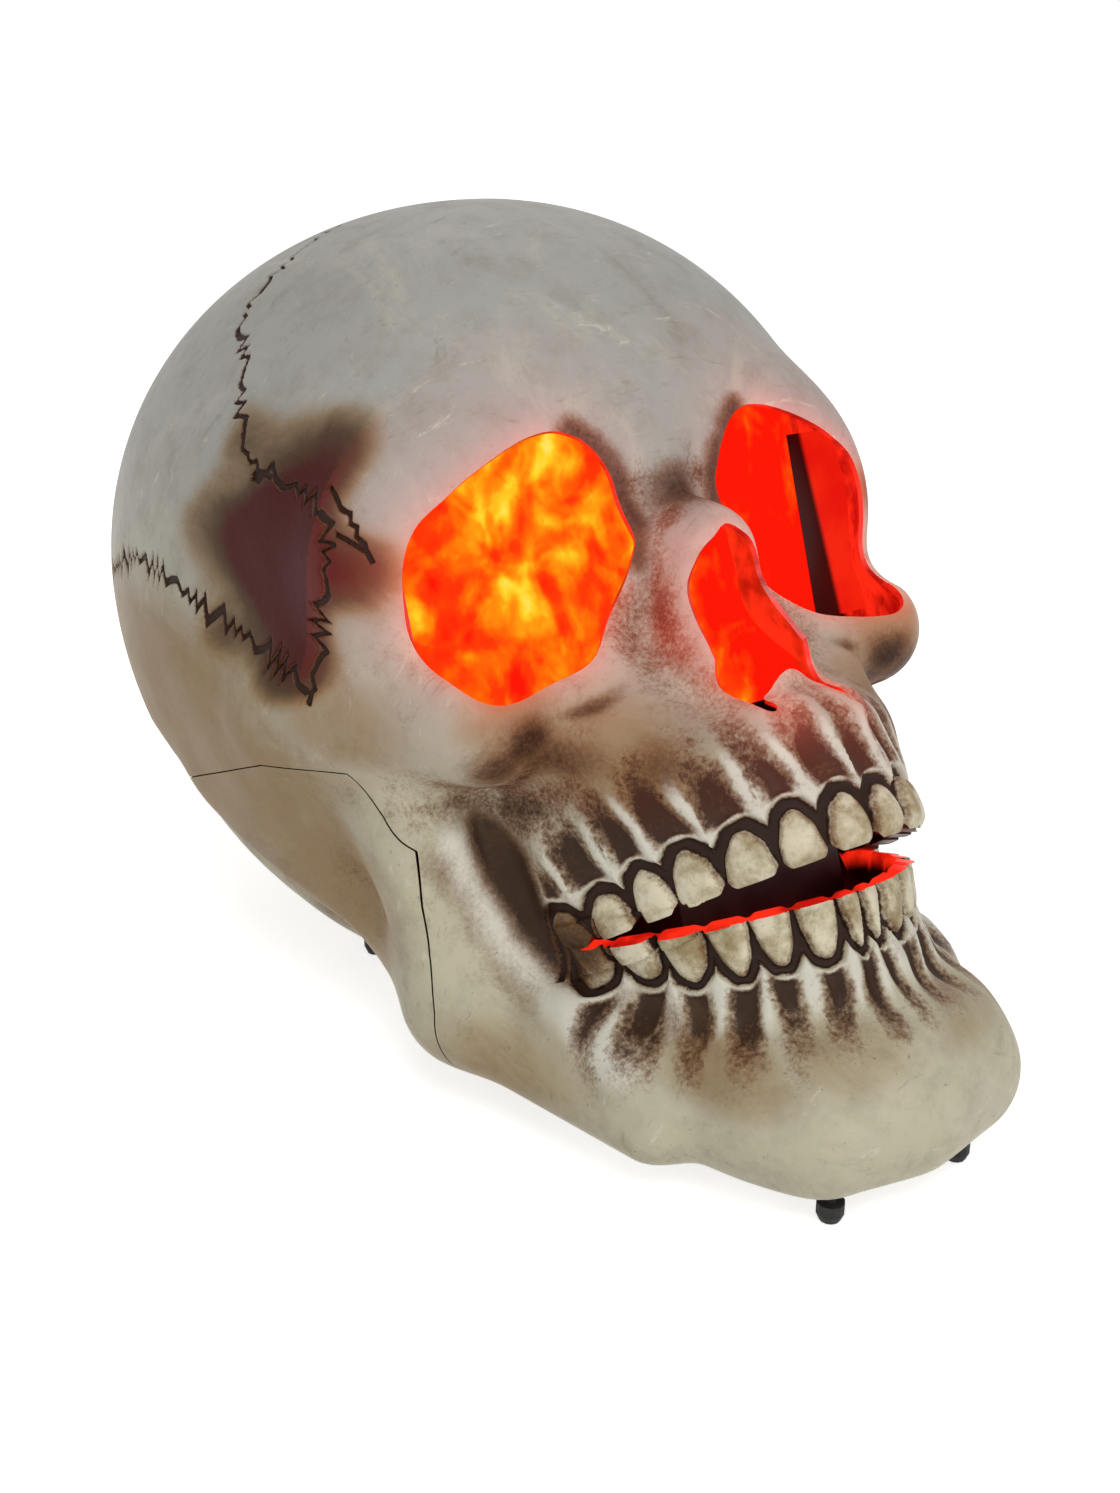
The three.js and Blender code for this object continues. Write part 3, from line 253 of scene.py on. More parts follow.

# The jaw's front edge, raised and with a painted highlight, with the hollow before it, sunk and darkened with
# brown wash and painted shade, and the painted shade line above each eye's inner half
JAW_RIDGE = {"width": 0.038, "line": [
    (0.214, -0.157, 0.237), (0.197, -0.168, 0.189), (0.184, -0.183, 0.156), (0.175, -0.209, 0.135),
    (0.174, -0.271, 0.119), (0.17, -0.319, 0.102)]}
JAW_RIDGE_RISE = 0.0035
JAW_RIDGE_HIGHLIGHT = 0.8
JAW_HOLLOW = {"width": 0.058, "line": [
    (0.202, -0.158, 0.226), (0.189, -0.168, 0.205), (0.179, -0.182, 0.178), (0.171, -0.197, 0.152),
    (0.166, -0.223, 0.136)]}
JAW_HOLLOW_DEPTH = 0.007
JAW_HOLLOW_DARK = 1.7
BROW_SHADE = {"width": 0.03, "line": [
    (0.082, -0.13, 0.537), (0.067, -0.133, 0.525), (0.055, -0.138, 0.51), (0.047, -0.146, 0.492),
    (0.043, -0.157, 0.468), (0.05, -0.17, 0.44)]}
BROW_DARK = 0.8

# The nose's raised lip, the small pit below each eye, darkened with brown wash and painted shade, and how an
# opening's edge is rolled in
NOSE_LIP_RISE = 0.0035
NOSE_LIP_WIDTH = 0.011
PIT = {"middle": (0.13, -0.218, 0.354), "radii": (0.045, 0.04, 0.009), "slope": 0.35, "edge": (0.1, 1.1)}
PIT_DEPTH = 0.0022
PIT_DARK = 0.75
RIM_ROLL = 0.0022
RIM_WIDTH = 0.005

# Clefts, narrow ones and wide ones, are darkened with brown wash and painted shade, and the eyes' light glows
# through near their rims
CLEFT_SHADES = ({"reach": 0.014, "amount": 1.0}, {"reach": 0.034, "amount": 1.2})
GLOWS = ({"amount": 0.42, "reach": 0.006}, {"amount": 0.13, "reach": 0.026})

# Where the screen's red light reaches the inside: above the mouth, and on the lower lip's edge
LIT = {"above": 0.17, "front": -0.1, "lip": 0.03, "lip_edge": (0.008, 0.001)}

# The smooth skin is drawn in a touch, so that it doesn't reach past the faceted solids
FIT = np.array([0.999, 0.998, 0.9985])

# Openings of the underside: the battery door's, with a raised rim inside, and the switch's
UNDERSIDE = 0.018
TRAY_SHARE = 0.1345
HATCH = {"x": 0, "y": TRAY_SHARE * LENGTH, "half_width": 0.0303, "half_length": 0.0268}
SLIDER_SLOT = {"x": 0.0422, "y": 0.0644, "half_width": 0.0028, "half_length": 0.0058}
HATCH_RIM = 0.005
HATCH_RIM_BASE = 0.0092
HATCH_RIM_TOP = 0.015

# The search for the form's surface from its heart line, and the step that its slope is measured over
SEARCH_STEPS = 36
SEARCH_SHARE = 0.75
SEARCH_MARGIN = 0.004
SEARCH_HALVINGS = 12
NEAR_HALVINGS = 9
NORMAL_STEP = 0.0012

# How many points are worked on at once
CHUNK = 20000

# How finely the skin is split: the rounds of splitting, the longest edges, and how far off each holds
EVEN_LEVELS = 5
GUESS_LEVELS = 2
MOST_LEVELS = 14
MARK_ROUNDS = 3
PLAIN_EDGE = 0.0065
FACE_EDGE = 0.0034
FACE_ZONE = {"rear": -0.05, "low": 0.02}
RIM_EDGE = {"edge": 0.0016, "within": 0.009}
GUM_EDGE = {"edge": 0.0022, "within": 0.058}
CROWN_EDGE = {"edge": 0.00125, "within": 0.031}
SUTURE_EDGE = {"edge": 0.0013, "within": 0.011}
SEAM_EDGE = {"edge": 0.002, "within": 0.005}
OPENING_EDGE = {"edge": 0.0014, "within": 0.004}
FINE_ROW = {"rear": 0.025, "below": -0.006, "half_width": 0.1}
TINY = 1e-6


def shares(points):
    return np.array(points, float) * LENGTH


def on_one_side(points):
    """The same points, with those of the skull's right side mirrored to its left."""
    return np.stack([np.abs(points[:, 0]), points[:, 1], points[:, 2]], 1)


def smooth_step(value, low, high):
    part = np.clip((value - low) / (high - low), 0, 1)
    return part * part * (3 - 2 * part)


# The skull's form: a signed distance, negative inside, made of rounded pieces blended together
def smooth_min(a, b, width):
    overlap = np.maximum(width - np.abs(a - b), 0) / width
    return np.minimum(a, b) - overlap * overlap * width / 4


def ball_distance(p, shape):
    turn = math.radians(shape.get("turn", 0))
    lean = math.radians(shape.get("lean", 0))
    d = p - np.array(shape["ball"])
    across = d[:, 0] * math.cos(turn) + d[:, 1] * math.sin(turn)
    level = d[:, 1] * math.cos(turn) - d[:, 0] * math.sin(turn)
    ahead = level * math.cos(lean) + d[:, 2] * math.sin(lean)
    up = d[:, 2] * math.cos(lean) - level * math.sin(lean)
    local = np.stack([across, ahead, up], 1)
    radii = np.array(shape["radii"])
    near = np.linalg.norm(local / radii, axis=1)
    slope = np.linalg.norm(local / radii ** 2, axis=1)
    return near * (near - 1) / np.maximum(slope, TINY)


def limb_distance(p, shape):
    a, b = (np.array(end, float) for end in shape["limb"])
    along = b - a
    part = np.clip((p - a) @ along / (along @ along), 0, 1)
    radius = shape["radii"][0] + (shape["radii"][1] - shape["radii"][0]) * part
    return np.linalg.norm(p - a - part[:, None] * along, axis=1) - radius


def plate_distance(p, shape):
    lean = math.radians(shape["lean"])
    dy = p[:, 1] - shape["plate"][1]
    dz = p[:, 2] - shape["plate"][2]
    forward = dz * math.sin(lean) - dy * math.cos(lean)
    up = dy * math.sin(lean) + dz * math.cos(lean)
    wide, long = shape["radii"]
    near = np.hypot(p[:, 0] / wide, forward / long)
    slope = np.hypot(p[:, 0] / wide ** 2, forward / long ** 2)
    rim = np.maximum(near * (near - 1) / np.maximum(slope, TINY), 0)
    return np.hypot(rim, np.maximum(np.abs(up) - shape["half"], 0)) - shape["round"]


def cranium_distance(p):
    d = p - np.array(CRANIUM["centre"])
    power = CRANIUM["squareness"]
    long = np.abs(d[:, 1] / np.where(d[:, 1] < 0, CRANIUM["front"], CRANIUM["rear"])) ** power
    wide = np.abs(d[:, 0] / CRANIUM["side"]) ** power
    level = (wide + long) ** (1 / power)
    tall = d[:, 2] / np.where(d[:, 2] < 0, CRANIUM["down"], CRANIUM["up"])
    return (np.hypot(level, tall) - 1) * CRANIUM["side"]


def form_distance(points):
    p = points / LENGTH
    p[:, 0] = np.abs(p[:, 0])
    distance = cranium_distance(p)
    for shape in FORM:
        kind = ball_distance if "ball" in shape else limb_distance if "limb" in shape else plate_distance
        other = kind(p, shape)
        if shape.get("cut"):
            distance = -smooth_min(-distance, other, shape["blend"])
        else:
            distance = smooth_min(distance, other, shape["blend"])
    under = FOOT_HEIGHT / LENGTH - p[:, 2]
    return -smooth_min(-distance, -under, UNDER_BLEND_SHARE) * LENGTH


def ray_starts(directions):
    axis = np.array(HEART["axis"])
    shift = (directions @ axis)[:, None] * HEART["reach"] * LENGTH
    return shares(HEART["middle"]) + shift * axis


def halve(start, directions, inside, outside, rounds):
    for _ in range(rounds):
        middle = (inside + outside) / 2
        hit = form_distance(start + directions * middle[:, None]) < 0
        inside = np.where(hit, middle, inside)
        outside = np.where(hit, outside, middle)
    return inside


def reach_of(directions, guess=None):
    """How far out the form's surface lies along each direction, searched near a guess if there is one."""
    start = ray_starts(directions)
    if guess is None:
        reach = SEARCH_SHARE * LENGTH
        inside = np.zeros(len(directions))
        for step in range(1, SEARCH_STEPS + 1):
            out = reach * step / SEARCH_STEPS
            inside[form_distance(start + directions * out) < 0] = out
        return halve(start, directions, inside, inside + reach / SEARCH_STEPS, SEARCH_HALVINGS)
    near = guess - SEARCH_MARGIN
    far = guess + SEARCH_MARGIN
    good = form_distance(start + directions * near[:, None]) < 0
    good &= form_distance(start + directions * far[:, None]) > 0
    result = np.empty(len(directions))
    result[good] = halve(start[good], directions[good], near[good], far[good], NEAR_HALVINGS)
    result[~good] = reach_of(directions[~good])
    return result


def surface_at(directions, reach):
    return ray_starts(directions) + directions * reach[:, None]


def normals_at(points):
    gradient = np.zeros_like(points)
    for axis in range(3):
        offset = np.zeros(3)
        offset[axis] = NORMAL_STEP
        gradient[:, axis] = form_distance(points + offset) - form_distance(points - offset)
    return gradient / np.linalg.norm(gradient, axis=1)[:, None]


# Outlines as smooth closed curves, and how far points lie outside them
def closed_curve(points, rounds=3):
    """A smooth curve through the points: each round puts one more between two, by the four-point rule."""
    near_weight = 9
    curve = np.array(points, float)
    for _ in range(rounds):
        before = np.roll(curve, 1, 0)
        after = np.roll(curve, -1, 0)
        beyond = np.roll(curve, -2, 0)
        between = (near_weight * (curve + after) - before - beyond) / (2 * near_weight - 2)
        curve = np.stack([curve, between], 1).reshape(-1, 2)
    return curve


def outside_distance(points, outline):
    a = outline
    b = np.roll(outline, -1, 0)
    along = b - a
    length2 = (along ** 2).sum(1)
    result = np.empty(len(points))
    for first in range(0, len(points), CHUNK):
        p = points[first:first + CHUNK, None, :]
        part = np.clip(((p - a) * along).sum(2) / length2, 0, 1)
        near = a + part[..., None] * along
        distance = np.sqrt(((p - near) ** 2).sum(2)).min(1)
        py = p[..., 1]
        crosses = (a[:, 1] > py) != (b[:, 1] > py)
        slope = np.where(along[:, 1] == 0, 1, along[:, 1])
        at = a[:, 0] + (py - a[:, 1]) / slope * along[:, 0]
        odd = (crosses & (p[..., 0] < at)).sum(1) % 2 == 1
        result[first:first + CHUNK] = np.where(odd, -distance, distance)
    return result


EYE = closed_curve(shares(EYE_SHARES))
NOSE = closed_curve(shares(NOSE_SHARES + [(-x, z) for x, z in NOSE_SHARES[-2:0:-1]]))


def in_zone(points, zone):
    inside = (points[:, 1] < zone["rear"]) & (points[:, 2] > zone["low"]) & (points[:, 2] < zone["high"])
    return inside & (np.abs(points[:, 0]) < zone["half_width"])


def eye_distance(points):
    result = np.full(len(points), FAR)
    near = in_zone(points, EYE_ZONE)
    flat = np.stack([np.abs(points[near, 0]), points[near, 2]], 1)
    result[near] = outside_distance(flat, EYE)
    return result


def nose_distance(points):
    result = np.full(len(points), FAR)
    near = in_zone(points, NOSE_ZONE)
    result[near] = outside_distance(points[near][:, [0, 2]], NOSE)
    return result


def below_distance(points, opening):
    """How far points of the underside lie outside a rectangular opening in it."""
    across = np.abs(points[:, 0] - opening["x"]) - opening["half_width"]
    along = np.abs(points[:, 1] - opening["y"]) - opening["half_length"]
    return np.where(points[:, 2] < UNDERSIDE, np.maximum(across, along), FAR)


def line_height(points, line):
    """How far points lie above a straight line through the mouth's corner, seen from the side."""
    corner = shares(MOUTH_CORNER)
    along = shares(line) - corner
    along /= np.linalg.norm(along)
    offset = points[:, 1:] - corner
    return offset[:, 1] * -along[0] + offset[:, 0] * along[1]


def seam_distance(points):
    """Positive on the face's side of the parting line, which is seen from the side."""
    line = shares(SEAM_SHARES)
    corners = [(-BEYOND, -BEYOND), (-BEYOND, BEYOND), (BEYOND, BEYOND), (BEYOND, line[0, 1])]
    outline = np.vstack([line, corners])
    return -outside_distance(points[:, 1:], outline)


def nearest_on(points, line):
    """Each point's nearest piece of a line, the share of that piece before it, and how far away it is."""
    a = line[:-1]
    along = line[1:] - a
    length2 = (along ** 2).sum(1)
    piece = np.empty(len(points), int)
    share = np.empty(len(points))
    away = np.empty(len(points))
    for first in range(0, len(points), CHUNK):
        rows = slice(first, first + CHUNK)
        p = points[rows, None, :]
        part = np.clip(((p - a) * along).sum(2) / length2, 0, 1)
        gap = ((p - a - part[..., None] * along) ** 2).sum(2)
        best = gap.argmin(1)
        each = np.arange(len(best))
        piece[rows] = best
        share[rows] = part[each, best]
        away[rows] = np.sqrt(gap[each, best])
    return piece, share, away


# Teeth: where points lie along an arch, in teeth, and how far they are from a crown's outline
def arch_places(points, arch):
    lean = math.radians(arch["lean"])
    forward = np.array([0, -math.cos(lean), math.sin(lean)])
    centres = shares(arch["teeth"])
    side = centres * np.array([-1, 1, 1])
    row = np.vstack([side[::-1], centres])
    flat = np.stack([row[:, 0], row @ forward], 1)
    flat = np.vstack([2 * flat[0] - flat[1], flat, 2 * flat[-1] - flat[-2]])
    index = np.arange(len(flat)) - 0.5
    fine = np.linspace(index[0], index[-1], (len(flat) - 1) * ARCH_STEPS + 1)
    curve = np.stack([np.interp(fine, index, flat[:, k]) for k in range(2)], 1)
    smooth = np.convolve(np.ones(ARCH_SMOOTHING), np.ones(ARCH_SMOOTHING))
    more = ARCH_SMOOTHING - 1
    padded = np.vstack([np.repeat(curve[:1], more, 0), curve, np.repeat(curve[-1:], more, 0)])
    curve = np.stack([np.convolve(padded[:, k], smooth / smooth.sum(), "valid") for k in range(2)], 1)
    query = np.stack([points[:, 0], points @ forward], 1)
    piece, share, away = nearest_on(query, curve)
    place = fine[piece] + share * (fine[1] - fine[0])
    step = np.linalg.norm(np.gradient(curve, axis=0), axis=1) / (fine[1] - fine[0])
    pitch = np.interp(place, fine, step)
    return place, pitch, away


def wave(value, seed):
    """An uneven number between -1 and 1 for each value."""
    return sum(np.sin(value * rate + seed * shift) for rate, shift in WAVES) / len(WAVES)


def step_between(value, rise, fall):
    """Nought, then one between a rising and a falling edge, then nought again."""
    return smooth_step(value, *rise) * (1 - smooth_step(value, *fall))


def row_places(points, arch):
    """The points near a tooth row, with their place along it in teeth and their height above its line."""
    rows = shares(arch["teeth"])
    up = line_height(points, arch["line"]) * arch["sign"]
    near = (points[:, 1] > rows[:, 1].min() - ROW_ZONE["front"])
    near &= (points[:, 1] < rows[:, 1].max() + ROW_ZONE["rear"])
    near &= (up > ROW_ZONE["below"]) & (up < ROW_ZONE["above"])
    near &= np.abs(points[:, 0]) < rows[:, 0].max() + ROW_ZONE["side"]
    place, pitch, away = arch_places(points[near], arch)
    count = len(arch["teeth"]) * 2
    index = np.clip(np.floor(place), 0, count - 1)
    ends = smooth_step(place, *ROW_ENDS) * smooth_step(count - place, *ROW_ENDS)
    reach = smooth_step(away, *ROW_AWAY) * ends
    return SimpleNamespace(near=near, up=up[near], place=place, pitch=pitch, count=count, index=index,
                           ends=ends, reach=reach)


def crown_shape(at, arch):
    """A level that is one on a crown's outline, how far points lie outside it, and from its foot's middle."""
    tilt = wave(at.index, arch["sign"]) * CROWN["tilt"]
    across = at.place - at.index - 0.5 + tilt * (at.up / arch["crown"] - 0.5)
    back = np.abs(at.index - (at.count - 1) / 2) / (at.count / 2)
    shorter = 1 - CROWN["rear_shorter"] * smooth_step(back, CROWN["rear_from"], 1)
    tall = arch["crown"] * (1 + CROWN["tall_wave"] * wave(at.index, SEEDS["tall"] + arch["sign"])) * shorter
    wide = at.pitch * CROWN["half_width_share"] * (1 + CROWN["wide_wave"] * wave(at.index, SEEDS["wide"]))
    x = np.abs(across) * at.pitch
    v = np.maximum(at.up, 0)
    side = arch["sharp"]
    top = CROWN["top_power"]
    level = (x / wide) ** side + (v / tall) ** top
    slope = np.hypot(side * (x / wide) ** (side - 1) / wide, top * (v / tall) ** (top - 1) / tall)
    outside = (level - 1) / np.maximum(slope, CROWN["least_slope"])
    wobble = np.sin(at.up * CROWN["wobble_up"] + at.index) * np.sin(at.place * CROWN["wobble_along"])
    return level, outside + CROWN["wobble"] * wobble, np.hypot(x, v)


def crown_dome(at, level):
    """The crown's rounded face, lower at its cutting edge."""
    least = CROWN["cutting_edge"]
    dome = np.maximum(1 - np.clip(level, 0, 1) ** CROWN["dome_power"], 0) ** CROWN["dome_root"]
    return dome * (least + (1 - least) * smooth_step(at.up, *EDGE_ROUND))


def root_shapes(at, arch, level, foot):
    """The furrow over each crown, the ridge over each gap, and the wash round them."""
    ends = smooth_step(at.place, *ROOT_ENDS) * smooth_step(at.count - at.place, *ROOT_ENDS)
    above = foot * (1 - np.maximum(level, 1) ** -ROOT["ease"]) - arch["band"] - ROOT["gap"]
    even = above / arch["root"]
    part = even / (1 + ROOT["tall_wave"] * wave(at.index, SEEDS["root"] + arch["sign"]))
    sway = ROOT["sway"] * np.sin(at.up * ROOT["sway_up"] + at.index * ROOT["sway_tooth"])
    bend = (at.place - at.index - 0.5 + arch["slant"] * part + sway) * at.pitch
    uneven = 1 + ROOT["wide_wave"] * wave(at.index, SEEDS["furrow"] + arch["sign"])
    half_width = ROOT_HALF_WIDTH * uneven * (ROOT["foot_width"] - ROOT["narrowing"] * np.clip(part, 0, 1))
    profile = np.exp(-np.abs(bend / half_width) ** ROOT["edge_power"])
    furrow = profile * smooth_step(above, *FURROW_START) * (1 - smooth_step(part, *FURROW_END)) * ends
    crest = np.exp(-((np.abs(bend) - at.pitch / 2) / ROOT["crest"]) ** 2)
    ridge = crest * smooth_step(above, *RIDGE_START) * (1 - smooth_step(even, *RIDGE_END)) * ends
    zone = smooth_step(above, *WASH_START) * (1 - smooth_step(even, *WASH_END)) * ends
    sway = WASH["sway"] * wave(at.up * WASH["sway_up"], SEEDS["sway"])
    streak = (1 + wave(at.place * WASH["along"] + sway, SEEDS["streak"])) / 2
    wash = zone * (WASH["plain"] + WASH["streak"] * streak - WASH["crest"] * crest)
    return furrow, ridge, np.maximum(wash, WASH["furrow"] * furrow)


def tooth_details(points, arch):
    """How one tooth row shapes and paints the points."""
    at = row_places(points, arch)
    level, outside, foot = crown_shape(at, arch)
    bulge = crown_dome(at, level)
    trough = step_between(outside, TROUGH_START, arch["band"] + np.array(TROUGH_END))
    gum = step_between(outside, arch["band"] + np.array(GUM_START), arch["band"] + np.array(GUM_END))
    furrow, ridge, wash = root_shapes(at, arch, level, foot)
    worn = CROWN_WEAR * smooth_step(outside, *CROWN_WEAR_EDGE) * (outside < 0)
    gap = np.abs(at.place - np.round(at.place)) * at.pitch
    relief = CROWN_RISE * bulge - BAND_DEPTH * trough + GUM_RISE * gum
    relief += ROOT_RISE * ridge - ROOT_DEPTH * furrow
    found = {
        "rise": relief * at.reach,
        "grime": np.maximum(trough, FURROW_GRIME * furrow) * at.reach,
        "crown": (1 - smooth_step(outside, *CROWN_PAINT_EDGE)) * at.reach,
        "stain": np.maximum(wash, worn) * at.reach,
        # Pale ridges over the gaps and the gum's edge: pale paint with a painted highlight
        "high": np.maximum(ridge, GUM_HIGH * gum) * at.reach,
        "notch": arch["notch"] * (1 - smooth_step(gap, 0, NOTCH_HALF_WIDTH)) * at.ends,
    }
    result = {name: np.zeros(len(points)) for name in found}
    for name, values in found.items():
        result[name][at.near] = values
    return result


# Sutures: zigzag grooves along lines on the skull
def fine_line(suture):
    points = shares(suture["line"])
    steps = SUTURE_STEPS + 1
    parts = [np.linspace(start, end, steps)[:-1] for start, end in zip(points, points[1:])]
    return np.vstack(parts + [points[-1:]])


def near_suture(points, line):
    """Which points, mirrored to one side, are in the box round a suture's line."""
    return ((points > line.min(0) - SUTURE_REACH) & (points < line.max(0) + SUTURE_REACH)).all(1)


def zigzag_at(place, suture, number):
    """How far a suture swings to one side at each place along it, and how steeply its zigzag runs."""
    drift = ZIGZAG["drift"] * np.sin(place * ZIGZAG["drift_rate"] + number)
    phase = place / suture["pitch"] + drift
    sway = ZIGZAG["sway"] * np.sin(place * ZIGZAG["sway_rate"] + 2 * number)
    swing = suture["swing"] * (ZIGZAG["least"] + sway)
    steep = np.sqrt(1 + (4 * swing / suture["pitch"]) ** 2)
    return swing * (2 / math.pi) * np.arcsin(np.sin(2 * math.pi * phase)), steep


def groove_of(points, normals, suture, number):
    """How deep one suture's groove is, from nought to one."""
    line = fine_line(suture)
    along = np.diff(line, axis=0)
    length = np.linalg.norm(along, axis=1)
    start = np.concatenate([[0], np.cumsum(length)[:-1]])
    piece, share, away = nearest_on(points, line)
    zigzag, steep = zigzag_at(start[piece] + share * length[piece], suture, number)
    offset = points - line[piece] - share[:, None] * along[piece]
    across = np.cross(normals, along[piece] / length[piece][:, None])
    aside = np.abs((offset * across).sum(1) - zigzag) / steep
    depth = 1 - smooth_step(aside, *SUTURE_SIDE)
    beyond = np.abs((offset * along[piece]).sum(1)) / length[piece]
    return np.where((away < SUTURE_REACH) & (beyond < SUTURE_END), depth, 0)


def suture_details(points, normals):
    groove = np.zeros(len(points))
    mirrored = on_one_side(points)
    turned = normals.copy()
    turned[points[:, 0] < 0, 0] *= -1
    for number, suture in enumerate(SUTURES):
        near = near_suture(mirrored, fine_line(suture))
        found = groove_of(mirrored[near], turned[near], suture, number)
        groove[near] = np.maximum(groove[near], found)
    return groove


def near_sutures(points):
    mirrored = on_one_side(points)
    nearest = np.full(len(points), FAR)
    for suture in SUTURES:
        line = fine_line(suture)
        near = np.flatnonzero(near_suture(mirrored, line))
        for first in range(0, len(near), CHUNK):
            rows = near[first:first + CHUNK]
            gap = np.sqrt(((mirrored[rows, None, :] - line) ** 2).sum(2)).min(1)
            nearest[rows] = np.minimum(nearest[rows], gap)
    return nearest


# The skin as a mesh of directions from the heart line, split until its edges are short enough everywhere
SPHERE_EDGE = 1.1


def first_sphere():
    """An icosahedron's corners and faces. Its edges are shorter than SPHERE_EDGE, its diagonals longer."""
    golden = (1 + math.sqrt(5)) / 2
    corners = []
    for s in (-1, 1):
        for t in (-golden, golden):
            corners += [(0, s, t), (s, t, 0), (t, 0, s)]
    points = np.array(corners, float)
    points /= np.linalg.norm(points[0])
    faces = []
    for i, j, k in combinations(range(len(points)), 3):
        sides = [np.linalg.norm(points[a] - points[b]) for a, b in ((i, j), (j, k), (k, i))]
        if max(sides) < SPHERE_EDGE:
            turn = np.dot(np.cross(points[j] - points[i], points[k] - points[i]), points[i])
            faces.append((i, j, k) if turn > 0 else (i, k, j))
    return points, np.array(faces)


def edge_numbers(faces, count):
    pairs = np.stack([faces, np.roll(faces, -1, 1)], 2)
    keys = pairs.min(2).astype(np.int64) * count + pairs.max(2)
    unique, inverse = np.unique(keys, return_inverse=True)
    return unique, inverse.reshape(faces.shape)


def split_edges(faces, edges, marked, middles):
    """Faces after the marked edges have been halved. edges holds each face's three edge numbers."""
    hit = marked[edges]
    number = hit.sum(1)
    result = [faces[number == 0]]
    whole = number == 3
    if whole.any():
        f = faces[whole]
        m = middles[edges[whole]]
        result += [np.stack([f[:, 0], m[:, 0], m[:, 2]], 1), np.stack([f[:, 1], m[:, 1], m[:, 0]], 1)]
        result += [np.stack([f[:, 2], m[:, 2], m[:, 1]], 1), m]
    for turn in range(3):
        order = [(turn + k) % 3 for k in range(3)]
        one = (number == 1) & hit[:, order[0]]
        if one.any():
            f = faces[one][:, order]
            m = middles[edges[one][:, order[0]]]
            result += [np.stack([f[:, 0], m, f[:, 2]], 1), np.stack([m, f[:, 1], f[:, 2]], 1)]
        two = (number == 2) & hit[:, order[0]] & hit[:, order[1]]
        if two.any():
            f = faces[two][:, order]
            m0 = middles[edges[two][:, order[0]]]
            m1 = middles[edges[two][:, order[1]]]
            result += [np.stack([m0, f[:, 1], m1], 1), np.stack([f[:, 0], m0, m1], 1)]
            result += [np.stack([f[:, 0], m1, f[:, 2]], 1)]
    return np.vstack(result)


def wanted_edge(points):
    """The longest edge that is allowed at each point."""
    size = np.full(len(points), PLAIN_EDGE)
    size[(points[:, 1] < FACE_ZONE["rear"]) & (points[:, 2] > FACE_ZONE["low"])] = FACE_EDGE
    rim = np.minimum(np.abs(eye_distance(points)), np.abs(nose_distance(points)))
    size = np.where(rim < RIM_EDGE["within"], RIM_EDGE["edge"], size)
    for arch in (UPPER, LOWER):
        up = line_height(points, arch["line"]) * arch["sign"]
        near = points[:, 1] < shares(arch["teeth"])[:, 1].max() + FINE_ROW["rear"]
        near &= (up > FINE_ROW["below"]) & (np.abs(points[:, 0]) < FINE_ROW["half_width"])
        size = np.where(near & (up < GUM_EDGE["within"]), np.minimum(size, GUM_EDGE["edge"]), size)
        size = np.where(near & (up < CROWN_EDGE["within"]), CROWN_EDGE["edge"], size)
    size = np.where(near_sutures(points) < SUTURE_EDGE["within"], SUTURE_EDGE["edge"], size)
    seam = np.abs(seam_distance(points))
    size = np.where(seam < SEAM_EDGE["within"], np.minimum(size, SEAM_EDGE["edge"]), size)
    for opening in (HATCH, SLIDER_SLOT):
        near = np.abs(below_distance(points, opening)) < OPENING_EDGE["within"]
        size = np.where(near, np.minimum(size, OPENING_EDGE["edge"]), size)
    return size * 1


def make_skin():
    directions, faces = first_sphere()
    reach = reach_of(directions)
    points = surface_at(directions, reach)
    wanted = np.zeros(len(points))
    for level in range(MOST_LEVELS):
        keys, edges = edge_numbers(faces, len(points))
        a = keys // len(points)
        b = keys % len(points)
        if level == EVEN_LEVELS:
            wanted = wanted_edge(points)
        limit = np.minimum(wanted[a], wanted[b])
        marked = np.linalg.norm(points[a] - points[b], axis=1) > limit
        if not marked.any():
            break
        for _ in range(MARK_ROUNDS):
            number = marked[edges].sum(1)
            marked[edges[number >= 2].ravel()] = True
        middles = np.full(len(keys), -1)
        middles[marked] = len(points) + np.arange(marked.sum())
        fresh = directions[a[marked]] + directions[b[marked]]
        fresh /= np.linalg.norm(fresh, axis=1)[:, None]
        guess = (reach[a[marked]] + reach[b[marked]]) / 2 if level > GUESS_LEVELS else None
        fresh_reach = reach_of(fresh, guess)
        fresh_points = surface_at(fresh, fresh_reach)
        faces = split_edges(faces, edges, marked, middles)
        directions = np.vstack([directions, fresh])
        reach = np.concatenate([reach, fresh_reach])
        points = np.vstack([points, fresh_points])
        fresh_wanted = wanted_edge(fresh_points) if level >= EVEN_LEVELS else np.zeros(len(fresh))
        wanted = np.concatenate([wanted, fresh_wanted])
    return points, faces


def with_faces(skin, faces):
    """The skin with these faces, and with only the points that they use."""
    used = np.unique(faces)
    renumber = np.full(len(skin["points"]), -1)
    renumber[used] = np.arange(len(used))
    result = {name: data[used] for name, data in skin.items() if name != "faces"}
    result["faces"] = renumber[faces]
    return result


